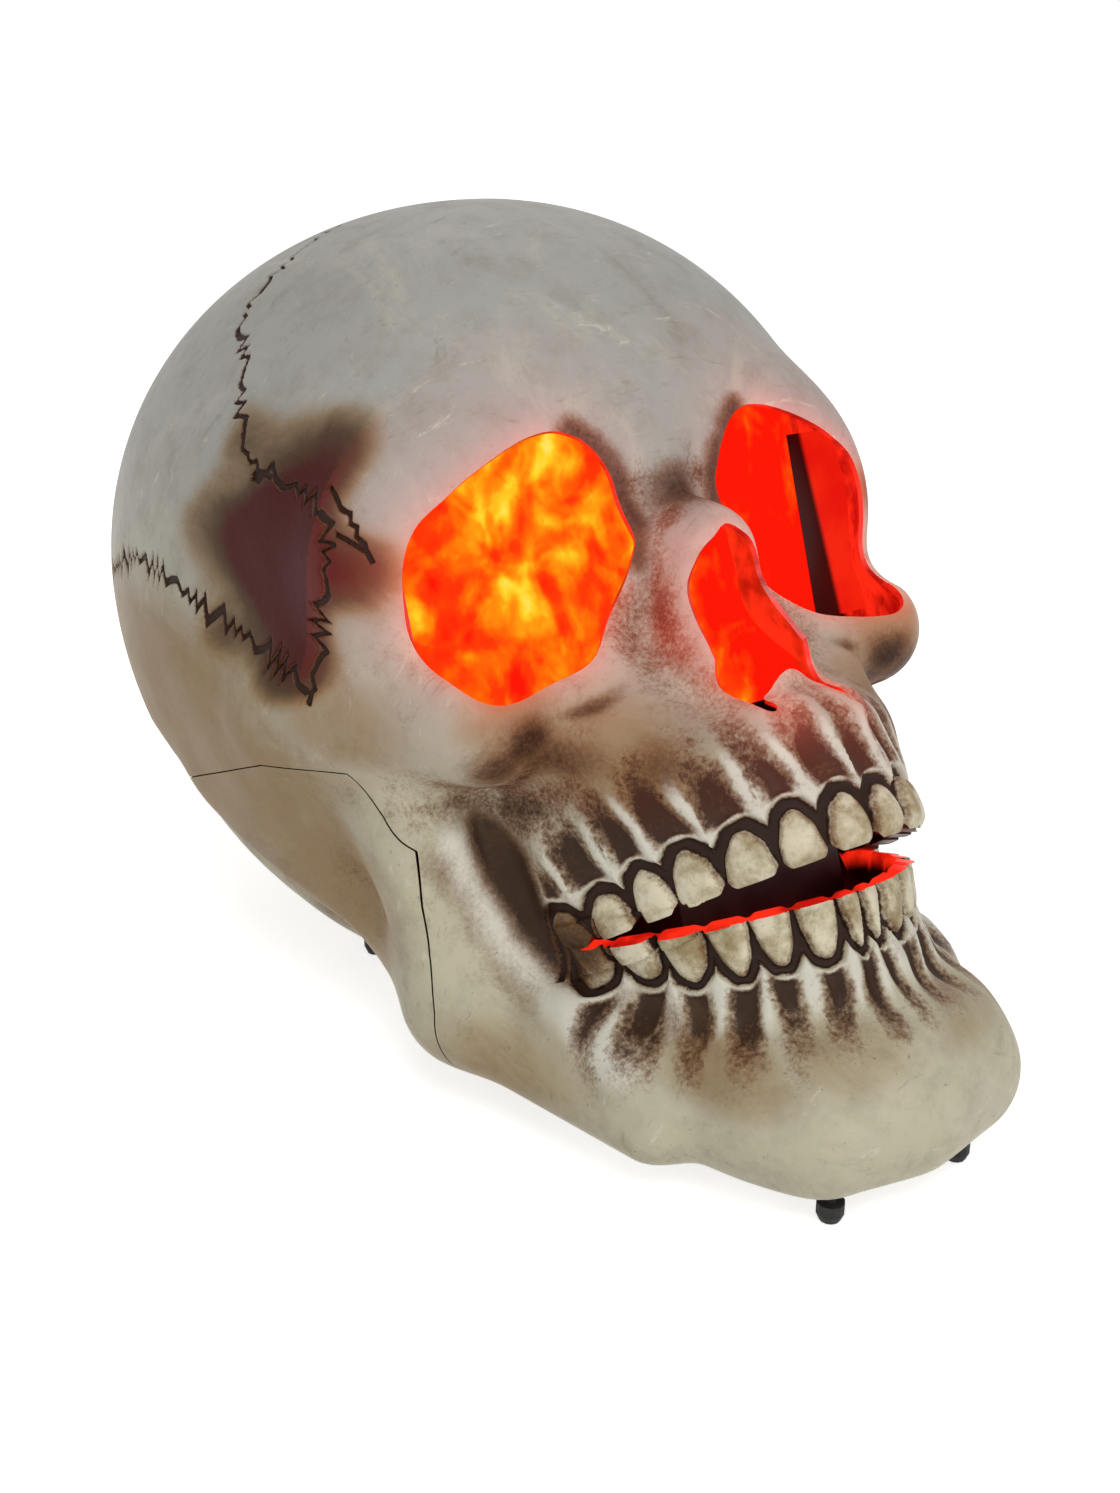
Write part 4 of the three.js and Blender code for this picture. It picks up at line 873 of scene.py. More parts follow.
# Clipping: a skin keeps what lies where a value is positive, with its edge exactly at nought
def clip(skin, value):
    faces = skin["faces"]
    keep = value > 0
    number = keep[faces].sum(1)
    mixed = faces[(number == 1) | (number == 2)]
    inside = keep[mixed]
    lone_in = inside.sum(1) == 1
    odd = np.where(lone_in[:, None], inside, ~inside).argmax(1)
    order = (odd[:, None] + np.arange(3)) % 3
    turned = np.take_along_axis(mixed, order, 1)
    count = len(value)
    first = np.stack([turned[:, 0], turned[:, 1]], 1)
    second = np.stack([turned[:, 0], turned[:, 2]], 1)
    pairs = np.vstack([first, second])
    keys = pairs.min(1).astype(np.int64) * count + pairs.max(1)
    unique, inverse = np.unique(keys, return_inverse=True)
    a = unique // count
    b = unique % count
    part = value[a] / (value[a] - value[b])
    fields = {}
    for name, data in skin.items():
        if name == "faces":
            continue
        weight = part.reshape([-1] + [1] * (data.ndim - 1))
        fields[name] = np.concatenate([data, data[a] * (1 - weight) + data[b] * weight])
    cut1 = count + inverse[:len(turned)]
    cut2 = count + inverse[len(turned):]
    new = [faces[number == 3], np.stack([turned[lone_in, 0], cut1[lone_in], cut2[lone_in]], 1)]
    pair = ~lone_in
    new += [np.stack([cut1[pair], turned[pair, 1], turned[pair, 2]], 1)]
    new += [np.stack([cut1[pair], turned[pair, 2], cut2[pair]], 1)]
    return with_faces(fields, np.vstack(new))


def boundary_edges(faces, count):
    pairs = np.vstack([faces[:, [0, 1]], faces[:, [1, 2]], faces[:, [2, 0]]])
    keys = pairs.min(1).astype(np.int64) * count + pairs.max(1)
    _, index, number = np.unique(keys, return_index=True, return_counts=True)
    return pairs[index[number == 1]]


def largest_part(skin):
    """Only the faces that hang together with the most others."""
    count = len(skin["points"])
    label = np.arange(count)
    faces = skin["faces"]
    while True:
        low = label[faces].min(1)
        fresh = label.copy()
        np.minimum.at(fresh, faces.ravel(), np.repeat(low, 3))
        fresh = fresh[fresh]
        if (fresh == label).all():
            break
        label = fresh
    names, numbers = np.unique(label[faces[:, 0]], return_counts=True)
    faces = faces[label[faces[:, 0]] == names[numbers.argmax()]]
    return with_faces(skin, faces)


SHARP_ANGLE = 38


def thick_mesh(name, skin, names, materials):
    """A closed shell: the skin, its inner side, and the walls of its openings."""
    outer = skin["outer"]
    inner = skin["inner"]
    count = len(outer)
    faces = skin["faces"]
    rim = boundary_edges(faces, count)
    walls = np.vstack([
        np.stack([rim[:, 1], rim[:, 0], rim[:, 0] + count], 1),
        np.stack([rim[:, 1], rim[:, 0] + count, rim[:, 1] + count], 1),
    ])
    every = np.vstack([faces, faces[:, ::-1] + count, walls])
    points = np.vstack([outer, inner])
    slots = np.concatenate([np.zeros(len(faces), int), np.ones(len(faces) + len(walls), int)])
    fields = {key: np.concatenate([skin[key], skin[key]]) for key in names}
    return make_mesh(name, points, every, materials, slots, fields, SHARP_ANGLE)


def make_mesh(name, points, faces, materials, slots=None, fields=None, angle=None):
    mesh = bpy.data.meshes.new(name)
    faces = np.asarray(faces)
    mesh.vertices.add(len(points))
    mesh.vertices.foreach_set("co", np.asarray(points, np.float32).ravel())
    mesh.loops.add(faces.size)
    mesh.loops.foreach_set("vertex_index", faces.ravel().astype(np.int32))
    mesh.polygons.add(len(faces))
    mesh.polygons.foreach_set("loop_start", np.arange(0, faces.size, faces.shape[1], dtype=np.int32))
    for material in materials:
        mesh.materials.append(material)
    if slots is not None:
        mesh.polygons.foreach_set("material_index", slots.astype(np.int32))
    mesh.update(calc_edges=True)
    mesh.validate()
    for key, data in (fields or {}).items():
        layer = mesh.attributes.new(key, "FLOAT", "POINT")
        layer.data.foreach_set("value", np.asarray(data, np.float32))
    mesh.shade_smooth()
    if angle is not None:
        mesh.set_sharp_from_angle(angle=math.radians(angle))
    piece = bpy.data.objects.new(name, mesh)
    bpy.context.collection.objects.link(piece)
    return piece


# Materials. A mix node has its sockets for colours behind those for numbers and vectors.
MIX_FACTOR = 0
MIX_A = 6
MIX_B = 7
MIX_RESULT = 2
NOISE_MIDDLE = 0.5
SCREEN_WHITE = 255
CURVE = {"offset": 0.055, "power": 2.4, "toe": 10, "toe_slope": 12.92}


class Look:
    """A material or a world in the making, with short ways to add and join its nodes."""

    def __init__(self, owner):
        owner.use_nodes = True
        self.owner = owner
        self.nodes = owner.node_tree.nodes
        self.links = owner.node_tree.links

    def put(self, node, values):
        """Numbers, colours and other nodes' results into a node's sockets."""
        for name, value in values.items():
            socket = node.inputs[name]
            if isinstance(value, tuple):
                socket.default_value = (*value, 1) if socket.type == "RGBA" else value
            elif isinstance(value, (int, float)):
                socket.default_value = value
            else:
                self.links.new(value, socket)
        return node

    def add(self, kind, values=None, **settings):
        node = self.nodes.new(kind)
        for name, value in settings.items():
            setattr(node, name, value)
        return self.put(node, values or {})

    def surface(self, values):
        self.put(self.nodes["Principled BSDF"], values)

    def shine(self, colour, strength=1.0):
        self.surface({"Emission Color": colour, "Emission Strength": strength})

    def field(self, name):
        return self.add("ShaderNodeAttribute", attribute_name=name).outputs["Fac"]

    def place(self):
        return self.add("ShaderNodeTexCoord").outputs["Object"]

    def axes(self):
        return self.add("ShaderNodeSeparateXYZ", {"Vector": self.place()}).outputs

    def noise(self, scale, detail, roughness, distortion=0.0, stretch=(1, 1, 1)):
        mapping = self.add("ShaderNodeMapping", {"Vector": self.place(), "Scale": stretch})
        values = {"Vector": mapping.outputs["Vector"], "Scale": scale, "Detail": detail,
                  "Roughness": roughness, "Distortion": distortion}
        return self.add("ShaderNodeTexNoise", values).outputs["Fac"]

    def ranged(self, value, low, high, out_low=0.0, out_high=1.0):
        """A smooth rise or fall from one value to another between low and high."""
        values = {"Value": value, "From Min": low, "From Max": high, "To Min": out_low, "To Max": out_high}
        return self.add("ShaderNodeMapRange", values, interpolation_type="SMOOTHSTEP").outputs["Result"]

    def maths(self, kind, *values):
        return self.add("ShaderNodeMath", dict(enumerate(values)), operation=kind).outputs["Value"]

    def plus(self, a, b):
        return self.maths("ADD", a, b)

    def minus(self, a, b):
        return self.maths("SUBTRACT", a, b)

    def times(self, a, b):
        return self.maths("MULTIPLY", a, b)

    def most(self, a, b):
        return self.maths("MAXIMUM", a, b)

    def mixed(self, factor, a, b):
        values = {MIX_FACTOR: factor, MIX_A: a, MIX_B: b}
        return self.add("ShaderNodeMix", values, data_type="RGBA").outputs[MIX_RESULT]

    def painted(self, base, amount, reach, colour):
        """Paint over the base. reach holds where it starts, where it is full and how much it covers."""
        start, full, cover = reach
        return self.mixed(self.ranged(amount, start, full, 0.0, cover), base, colour)

    def broken_up(self, value, noises):
        """The value with noises around nought added; noises holds each with its strength."""
        parts = [self.times(self.minus(noise, NOISE_MIDDLE), strength) for noise, strength in noises]
        total = parts[0]
        for part in parts[1:]:
            total = self.plus(total, part)
        return self.plus(value, total)

    def bump(self, height, strength, distance):
        values = {"Height": height, "Strength": strength, "Distance": distance}
        self.surface({"Normal": self.add("ShaderNodeBump", values).outputs["Normal"]})


def new_look(name):
    return Look(bpy.data.materials.new(name))


def linear(*screen):
    """A colour as it is seen on screen, from 0 to 255, as the shader wants it."""
    result = []
    for part in screen:
        value = part / SCREEN_WHITE
        curved = ((value + CURVE["offset"]) / (1 + CURVE["offset"])) ** CURVE["power"]
        result.append(curved if part > CURVE["toe"] else value / CURVE["toe_slope"])
    return tuple(result)


BLACK = (0.0, 0.0, 0.0)
WHITE = (1.0, 1.0, 1.0)
BONE_TOP = linear(184, 182, 175)
BONE_LOW = linear(208, 201, 174)
# Pale cream, for pale paint and for painted highlights
BONE_BRIGHT = linear(232, 228, 213)
BONE_WORN = linear(138, 130, 112)
TOOTH_CLEAN = linear(234, 225, 197)
TOOTH_WORN = linear(170, 152, 114)
TAN = linear(152, 116, 68)
# Pale and dark brown, for wash paint and for painted shade
WASH_AND_SHADE_PALE = linear(126, 84, 52)
WASH_AND_SHADE_DARK = linear(44, 24, 16)
GRIME = linear(44, 27, 21)
TEMPLE_DARK = linear(72, 14, 17)
GLOW = linear(215, 62, 45)

# The bone's noises: scale, detail, roughness, distortion and stretch
NOISES = {
    "broad": (9.0, 5.0, 0.6), "fine": (60.0, 6.0, 0.65),
    "grain": (520.0, 3.0, 0.75), "speck": (420.0, 3.0, 0.6),
    "brush": (24.0, 7.0, 0.74, 0.9, (1.0, 0.4, 0.8)), "scratch": (130.0, 5.0, 0.75, 1.2, (0.22, 1.0, 0.5)),
}

# How strongly noises break up each painted field
BREAK_UP = {
    "level": {"broad": 0.14}, "tan": {"brush": 0.9}, "high": {"fine": 0.6}, "cloud": {"brush": 0.6},
    "spotted": {"fine": 0.7, "grain": 0.9}, "soft": {"brush": 0.8, "grain": 0.4},
    "dirt": {"fine": 0.7, "grain": 0.9},
}

# Coats of paint under and over the teeth: what each follows, where it starts and is full, and its cover
UNDER_COATS = [
    ("fine", (0.42, 0.72, 0.3), BONE_WORN),
    ("brush", (0.5, 0.78, 0.6), BONE_BRIGHT),
    ("brush", (0.46, 0.24, 0.45), BONE_WORN),
]
OVER_COATS = [
    ("scratch", (0.58, 0.7, 0.45), BONE_WORN),
    ("scratch", (0.4, 0.3, 0.5), BONE_BRIGHT),
    ("tan", (0.2, 1.0, 0.75), TAN),
    # The high coat: pale ridges and painted highlights; the wash coats: stains, brown wash and painted shade
    ("high", (0.3, 0.8, 0.9), BONE_BRIGHT),
    ("wash", (0.2, 0.7, 0.8), WASH_AND_SHADE_PALE),
    ("wash", (0.5, 0.95, 0.92), WASH_AND_SHADE_DARK),
    ("cloud", (0.0, 0.4, 0.75), TAN),
    ("cloud", (0.2, 0.6, 0.75), WASH_AND_SHADE_DARK),
    ("cloud", (0.45, 0.9, 0.92), TEMPLE_DARK),
    ("dirt", (0.2, 0.5, 0.75), WASH_AND_SHADE_PALE),
    ("dirt", (0.38, 0.66, 0.97), GRIME),
]
BONE_LEVEL = (0.3, 0.1)
TOOTH_LEVEL = (0.36, 0.66)
FLECK_LEVEL = (0.67, 0.75)
FLECK_COVER = (0.2, 0.1, 0.2, 0.45)
CLOUD_LEVEL = (0.3, 0.7)
BONE_GLOSS = (0.38, 0.55)
BONE_SPECULAR = 0.12
BONE_BUMP = {"strength": 0.45, "distance": 0.0008}


def bone_material():
    look = new_look("painted_bone")
    names = ("grime", "crown", "stain", "glow", "groove", "patch", "hollow", "height", "shade", "tan", "high")
    field = {name: look.field(name) for name in names}
    follow = {name: look.noise(*values) for name, values in NOISES.items()}

    def broken(value, name):
        noises = [(follow[noise], strength) for noise, strength in BREAK_UP[name].items()]
        return look.broken_up(value, noises)

    # Stains of the tooth rows, with the brown wash and painted shade of the clefts
    stain_and_cleft_shade = look.most(field["stain"], field["hollow"])
    dirty = look.most(field["grime"], field["groove"])
    level = broken(field["height"], "level")
    follow["tan"] = broken(field["tan"], "tan")
    follow["high"] = broken(field["high"], "high")
    # The wash follows stains, the clefts' painted shade and the soft patches of painted shade
    follow["wash"] = look.most(broken(stain_and_cleft_shade, "spotted"), broken(field["shade"], "soft"))
    follow["cloud"] = broken(field["patch"], "cloud")
    follow["dirt"] = broken(dirty, "dirt")

    base = look.mixed(look.ranged(level, *BONE_LEVEL), BONE_TOP, BONE_LOW)
    for name, reach, colour in UNDER_COATS:
        base = look.painted(base, follow[name], reach, colour)
    tooth = look.mixed(look.ranged(follow["fine"], *TOOTH_LEVEL), TOOTH_CLEAN, TOOTH_WORN)
    base = look.mixed(field["crown"], base, tooth)
    for name, reach, colour in OVER_COATS:
        base = look.painted(base, follow[name], reach, colour)
    flecks = look.times(look.ranged(follow["speck"], *FLECK_LEVEL), look.ranged(level, *FLECK_COVER))
    base = look.mixed(flecks, base, WASH_AND_SHADE_DARK)

    clean = look.most(look.minus(1.0, look.most(dirty, field["shade"])), 0.0)
    look.shine(look.mixed(look.times(field["glow"], clean), BLACK, GLOW))
    gloss = look.ranged(follow["broad"], *CLOUD_LEVEL, *BONE_GLOSS)
    look.surface({"Base Color": base, "Roughness": gloss, "Specular IOR Level": BONE_SPECULAR})
    look.bump(look.plus(follow["fine"], follow["brush"]), **BONE_BUMP)
    return look.owner


# The inside of the shell: dark, and red where the screen lights it
INSIDE_NOISE = (46.0, 3.0, 0.6)
INSIDE_LEVEL = (0.34, 0.6)
INSIDE_GLOSS = (0.3, 0.5)
LIT_DEEP = linear(168, 10, 6)
LIT_BRIGHT = linear(252, 40, 18)
WALL_DARK = linear(9, 7, 7)
WALL_LIT = linear(70, 14, 10)


def inside_material():
    look = new_look("lit_inside")
    lit = look.field("lit")
    soft = look.noise(*INSIDE_NOISE)
    red = look.mixed(look.ranged(soft, *INSIDE_LEVEL), LIT_DEEP, LIT_BRIGHT)
    look.shine(look.mixed(lit, BLACK, red))
    gloss = look.ranged(soft, *CLOUD_LEVEL, *INSIDE_GLOSS)
    look.surface({"Base Color": look.mixed(lit, WALL_DARK, WALL_LIT), "Roughness": gloss})
    return look.owner


# The flames that the projector throws on the screen, painted as glow: two noises and their shares, cooler to
# one side and at the foot, and the colours by heat
FLAME_BIG = (44.0, 2.5, 0.5, 0.5, (1.0, 1.0, 0.8))
FLAME_SMALL = (110.0, 3.0, 0.55, 0.3, (1.0, 1.0, 0.8))
FLAME_BIG_SHARE = 0.78
FLAME_LEAN = 0.4
FLAME_LEAN_FROM = 0.25
FLAME_SIDE = (0.005, 0.045, 0.04, 0.26)
FLAME_FOOT = (0.2, 0.26, 0.08, 0.0)
FLAME_STOPS = [
    (0.26, (252, 24, 6)), (0.37, (253, 62, 8)), (0.44, (253, 108, 8)),
    (0.51, (254, 158, 18)), (0.57, (254, 212, 40)), (0.66, (255, 244, 130)),
]
FLAME_BASE = linear(40, 4, 2)
FLAME_ROUGHNESS = 0.6


def flame_material():
    look = new_look("projected_flame_glow")
    axes = look.axes()
    big = look.times(look.noise(*FLAME_BIG), FLAME_BIG_SHARE)
    small = look.times(look.noise(*FLAME_SMALL), 1 - FLAME_BIG_SHARE)
    rise = look.times(look.minus(axes["Z"], FLAME_LEAN_FROM), FLAME_LEAN)
    side = look.ranged(look.plus(axes["X"], rise), *FLAME_SIDE)
    heat = look.minus(look.minus(look.plus(big, small), side), look.ranged(axes["Z"], *FLAME_FOOT))
    ramp = look.add("ShaderNodeValToRGB", {"Fac": heat})
    stops = ramp.color_ramp.elements
    stops.remove(stops[0])
    for number, (position, colour) in enumerate(FLAME_STOPS):
        stop = stops.new(position) if number else stops[0]
        stop.position = position
        stop.color = (*linear(*colour), 1)
    look.shine(ramp.outputs["Color"])
    look.surface({"Base Color": FLAME_BASE, "Specular IOR Level": 0.0, "Roughness": FLAME_ROUGHNESS})
    return look.owner


# The rails: painted red light from the screen, but for a painted shadow wedge along the left one's inner side
# that widens downward
RAIL_NOISE = (40.0, 3.0, 0.5)
RAIL_TOP = 0.27
RAIL_WEDGE = 0.09
RAIL_EDGE = (0.1195, 0.1235)
RAIL_OTHER = (0.0, -0.01)
RAIL_DEEP = linear(226, 20, 8)
RAIL_BRIGHT = linear(240, 36, 12)
RAIL_BASE = linear(30, 8, 6)
RAIL_ROUGHNESS = 0.45


def rail_material():
    look = new_look("lit_rail")
    axes = look.axes()
    wedge = look.times(look.minus(RAIL_TOP, axes["Z"]), RAIL_WEDGE)
    edge = look.minus(look.maths("ABSOLUTE", axes["X"]), wedge)
    lit = look.mixed(look.ranged(look.noise(*RAIL_NOISE), *CLOUD_LEVEL), RAIL_DEEP, RAIL_BRIGHT)
    shown = look.most(look.ranged(edge, *RAIL_EDGE), look.ranged(axes["X"], *RAIL_OTHER))
    look.shine(look.mixed(shown, BLACK, lit))
    look.surface({"Base Color": RAIL_BASE, "Roughness": RAIL_ROUGHNESS})
    return look.owner


# Moulded, rolled and drawn materials: clean and worn colour, roughness and scale of the noise
PLAIN_LOOKS = {
    "black_housing": {"colours": ((16, 16, 17), (30, 30, 32)), "roughness": 0.42, "scale": 70.0},
    "matt_black": {"colours": ((20, 20, 21), (34, 34, 35)), "roughness": 0.6, "scale": 110.0},
    "rubber_foot": {"colours": ((17, 17, 17), (38, 36, 34)), "roughness": 0.75, "scale": 300.0},
    "zinc_steel": {"colours": ((176, 178, 182), (128, 130, 136)), "roughness": 0.32, "scale": 240.0,
                   "metallic": 1.0},
    "brass_strip": {"colours": ((196, 164, 100), (150, 116, 62)), "roughness": 0.32, "scale": 260.0,
                    "metallic": 1.0},
    "green_board": {"colours": ((26, 86, 50), (48, 122, 74)), "roughness": 0.42, "scale": 420.0,
                    "stretch": (1.0, 0.06, 1.0)},
    "clear_lens": {"colours": ((206, 220, 228), (236, 242, 246)), "roughness": 0.06, "scale": 20.0},
    "raw_alloy": {"colours": ((188, 191, 195), (146, 150, 156)), "roughness": 0.38, "scale": 180.0,
                  "metallic": 1.0, "stretch": (0.1, 1.0, 1.0)},
    "white_nylon": {"colours": ((220, 216, 206), (190, 184, 170)), "roughness": 0.5, "scale": 160.0},
    "wheel_film": {"colours": ((214, 40, 14), (250, 196, 54)), "roughness": 0.3, "scale": 120.0},
}
PLAIN_CLOUD = (4.0, 0.6, 0.2)
PLAIN_GRAIN = (2.0, 0.6, 0.0)
GRAIN_FINER = 8
PLAIN_LEVEL = (0.35, 0.7)
PLAIN_WEAR = (0.55, 0.75, 0.5)
PLAIN_GLOSS = (0.85, 1.2)
PLAIN_BUMP = {"strength": 0.2, "distance": 0.0002}


def plain_material(name, colours, roughness, scale, metallic=0.0, stretch=(1.0, 1.0, 1.0)):
    """Colour, gloss and surface vary a little, as on a moulded, rolled or drawn piece."""
    look = new_look(name)
    colour, worn = (linear(*values) for values in colours)
    cloud = look.noise(scale, *PLAIN_CLOUD, stretch)
    grain = look.noise(scale * GRAIN_FINER, *PLAIN_GRAIN, stretch)
    base = look.mixed(look.ranged(cloud, *PLAIN_LEVEL), colour, worn)
    gloss = look.ranged(cloud, *CLOUD_LEVEL, *(roughness * share for share in PLAIN_GLOSS))
    base = look.painted(base, grain, PLAIN_WEAR, worn)
    look.surface({"Base Color": base, "Roughness": gloss, "Metallic": metallic})
    look.bump(grain, **PLAIN_BUMP)
    return look.owner


# The dry cells: a dark jacket, with a coppery band round one end
CELL_NOISE = (200.0, 3.0, 0.6)
CELL_DARK = linear(40, 42, 46)
CELL_WORN = linear(62, 64, 70)
CELL_COPPER = linear(184, 120, 70)
CELL_BAND = (0.0795, 0.0805)
CELL_GLOSS = (0.25, 0.4)


def cell_material():
    look = new_look("cell_jacket")
    cloud = look.noise(*CELL_NOISE)
    dark = look.mixed(look.ranged(cloud, *CLOUD_LEVEL), CELL_DARK, CELL_WORN)
    jacket = look.mixed(look.ranged(look.axes()["Y"], *CELL_BAND), dark, CELL_COPPER)
    look.surface({"Base Color": jacket, "Roughness": look.ranged(cloud, *CLOUD_LEVEL, *CELL_GLOSS)})
    return look.owner


# The lamp's dome
LAMP_NOISE = (240.0, 3.0, 0.6)
LAMP_DEEP = linear(255, 214, 140)
LAMP_BRIGHT = linear(255, 240, 200)
LAMP_STRENGTH = 0.8
LAMP_ROUGHNESS = 0.2


def lamp_material():
    look = new_look("lamp_dome")
    warm = look.mixed(look.ranged(look.noise(*LAMP_NOISE), *CLOUD_LEVEL), LAMP_DEEP, LAMP_BRIGHT)
    look.shine(warm, LAMP_STRENGTH)
    look.surface({"Base Color": warm, "Roughness": LAMP_ROUGHNESS})
    return look.owner


# The skull: what its relief and its paint follow, and its pieces
def hollow_of(points, normals, reach):
    """How far a point lies in a hollow: nought on flat and bulging places, up to one in a narrow cleft."""
    return np.clip(1 - form_distance(points + normals * reach) / reach, 0, 1)


def patch_of(points):
    side = on_one_side(points)
    spread = (side - shares(PATCH["middle"])) / shares(PATCH["radii"])
    bend = PATCH_WOBBLE["bend"] * np.sin(side[:, 2] * PATCH_WOBBLE["bend_rate"])
    wobble = PATCH_WOBBLE["along"] * np.sin(side[:, 1] * PATCH_WOBBLE["along_rate"] + bend)
    wobble += PATCH_WOBBLE["up"] * np.sin(side[:, 2] * PATCH_WOBBLE["up_rate"])
    return 1 - smooth_step(np.linalg.norm(spread, axis=1) + wobble, *PATCH["edge"])


def soft_patches(points, washes, core):
    """Soft patches at the same places of both sides, for brown wash with painted shade, for tan wash and for
    painted highlights.
    """
    side = on_one_side(points)
    result = np.zeros(len(points))
    for middle, radii, amount in washes:
        spread = np.linalg.norm((side - shares(middle)) / shares(radii), axis=1)
        result = np.maximum(result, amount * (1 - smooth_step(spread, core, SOFT_PATCH_END)))
    return result


def near_line(points, track):
    """One on a line of both sides, falling to nought a width away from it."""
    away = nearest_on(on_one_side(points), shares(track["line"]))[2]
    return 1 - smooth_step(away, 0, track["width"] * LENGTH)


def pit_of(points):
    """The slanting dent below each eye."""
    spread = on_one_side(points) - shares(PIT["middle"])
    spread[:, 2] += PIT["slope"] * spread[:, 0]
    return 1 - smooth_step(np.linalg.norm(spread / shares(PIT["radii"]), axis=1), *PIT["edge"])


def mouth_fields(points, notches):
    """How far points lie outside the mouth's opening, and where the inside is lit."""
    up = line_height(points, MOUTH_UPPER) - notches["upper"]
    low = -line_height(points, MOUTH_LOWER) - notches["lower"]
    mouth = np.maximum(np.maximum(up, low), np.abs(points[:, 0]) - MOUTH_HALF_WIDTH_SHARE * LENGTH)
    lip = mouth < LIT["lip"]
    lit = np.where(lip, smooth_step(mouth, *LIT["lip_edge"]), 1.0)
    lit = np.where((up > low) & lip, 0.0, lit)
    lit = np.where(points[:, 1] > LIT["front"], 0.0, lit)
    return mouth, np.where(points[:, 2] > LIT["above"], 1.0, lit)


def paint_fields(points, normals, rim, ridge, hollow, pit):
    """The painted highlights, and the other fields that the paint, the painted shade and the glow follow
    besides the teeth's.
    """
    # Brown wash and painted shade in the jaw's hollow, less where its edge has the painted highlight, and
    # along the brow lines
    dark = JAW_HOLLOW_DARK * hollow * (1 - JAW_RIDGE_HIGHLIGHT * ridge)
    dark = np.maximum(dark, BROW_DARK * near_line(points, BROW_SHADE))
    # Painted highlights along the jaw's front edge and low on the jaw and chin
    painted_highlight = np.maximum(JAW_RIDGE_HIGHLIGHT * ridge, soft_patches(points, HIGHLIGHT_PATCHES, HIGHLIGHT_CORE))
    clefts = [cleft["amount"] * hollow_of(points, normals, cleft["reach"]) for cleft in CLEFT_SHADES]
    glow = sum(each["amount"] * np.exp(-np.maximum(rim, 0) / each["reach"]) for each in GLOWS)
    return painted_highlight, {
        "patch": patch_of(points),
        # Brown wash and painted shade: the soft patches, the pits below the eyes, the jaw's hollow and the
        # brow lines
        "shade": np.maximum(np.maximum(soft_patches(points, SHADES, SHADE_CORE), PIT_DARK * pit), dark),
        "tan": soft_patches(points, TANS, TAN_CORE),
        # Brown wash and painted shade in clefts, kept off the jaw's front edge
        "hollow": np.maximum(*clefts) * (1 - ridge),
        "height": points[:, 2],
        "glow": np.where(rim > FAR / 2, 0, glow),
    }


def skull_skin():
    points, faces = make_skin()
    normals = normals_at(points)
    rise = np.zeros(len(points))
    fields = {name: np.zeros(len(points)) for name in ("grime", "crown", "stain", "high")}
    notches = {}
    for key, arch in (("upper", UPPER), ("lower", LOWER)):
        details = tooth_details(points, arch)
        rise += details["rise"]
        notches[key] = details["notch"]
        for name in fields:
            fields[name] = np.maximum(fields[name], details[name])
    groove = suture_details(points, normals)
    pit = pit_of(points)
    eye = eye_distance(points)
    nose = nose_distance(points)
    rim = np.minimum(eye, nose)
    rise -= SUTURE_DEPTH * groove + PIT_DEPTH * pit
    rise -= RIM_ROLL * np.clip(1 - rim / RIM_WIDTH, 0, 1) ** 2
    ridge = near_line(points, JAW_RIDGE)
    hollow = near_line(points, JAW_HOLLOW)
    shift = JAW_RIDGE_RISE * ridge - JAW_HOLLOW_DEPTH * hollow * (1 - ridge)
    shift += NOSE_LIP_RISE * (1 - smooth_step(nose, 0, NOSE_LIP_WIDTH))
    painted_highlight, paint = paint_fields(points, normals, rim, ridge, hollow, pit)
    fields.update(paint)
    # The painted highlights join the pale ridges
    fields["high"] = np.maximum(fields["high"], painted_highlight)
    fields["groove"] = groove
    mouth, fields["lit"] = mouth_fields(points, notches)
    skin = {
        "points": points, "faces": faces,
        "outer": points + normals * (rise + shift)[:, None],
        "inner": points + normals * (shift - WALL)[:, None],
        "seam": seam_distance(points), "eye": eye, "nose": nose, "mouth": mouth,
        "hatch": below_distance(points, HATCH), "slot": below_distance(points, SLIDER_SLOT),
    }
    skin.update(fields)
    return skin, list(fields)


def add_hatch_rim(bone):
    """The raised frame round the battery door's opening, inside the base."""
    points = []
    for z in (HATCH_RIM_BASE, HATCH_RIM_TOP):
        for more in (0, HATCH_RIM):
            x = HATCH["half_width"] + more
            y = HATCH["half_length"] + more
            for side_x, side_y in ((-1, -1), (1, -1), (1, 1), (-1, 1)):
                points.append((side_x * x, HATCH["y"] + SHIFT + side_y * y, z))
    faces = []
    for a in range(4):
        b = (a + 1) % 4
        faces += [(a, b, b + 4, a + 4), (a + 8, a + 12, b + 12, b + 8)]
        faces += [(a, a + 8, b + 8, b), (a + 4, b + 4, b + 12, a + 12)]
    rim = make_mesh("hatch_rim", points, [face[::-1] for face in faces], [bone])
    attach(rim, "skull")


def dress_skull():
    skin, names = skull_skin()
    face = clip(skin, skin["seam"] - SEAM_GAP / 2)
    base = clip(skin, -skin["seam"] - SEAM_GAP / 2)
    for opening in ("eye", "nose", "mouth"):
        face = clip(face, face[opening])
    for opening in ("hatch", "slot"):
        base = clip(base, base[opening])
    bone = bone_material()
    inside = inside_material()
    offset = np.array([0, SHIFT, 0])
    for name, part, node in (("skull_face", face, "face_shell"), ("skull_base", base, "base_shell")):
        part = largest_part(part)
        part["outer"] = part["outer"] * FIT + offset
        part["inner"] = part["inner"] * FIT + offset
        piece = thick_mesh(name, part, names, [bone, inside])
        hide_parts(node)
        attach(piece, "skull")
    add_hatch_rim(bone)
    return bone


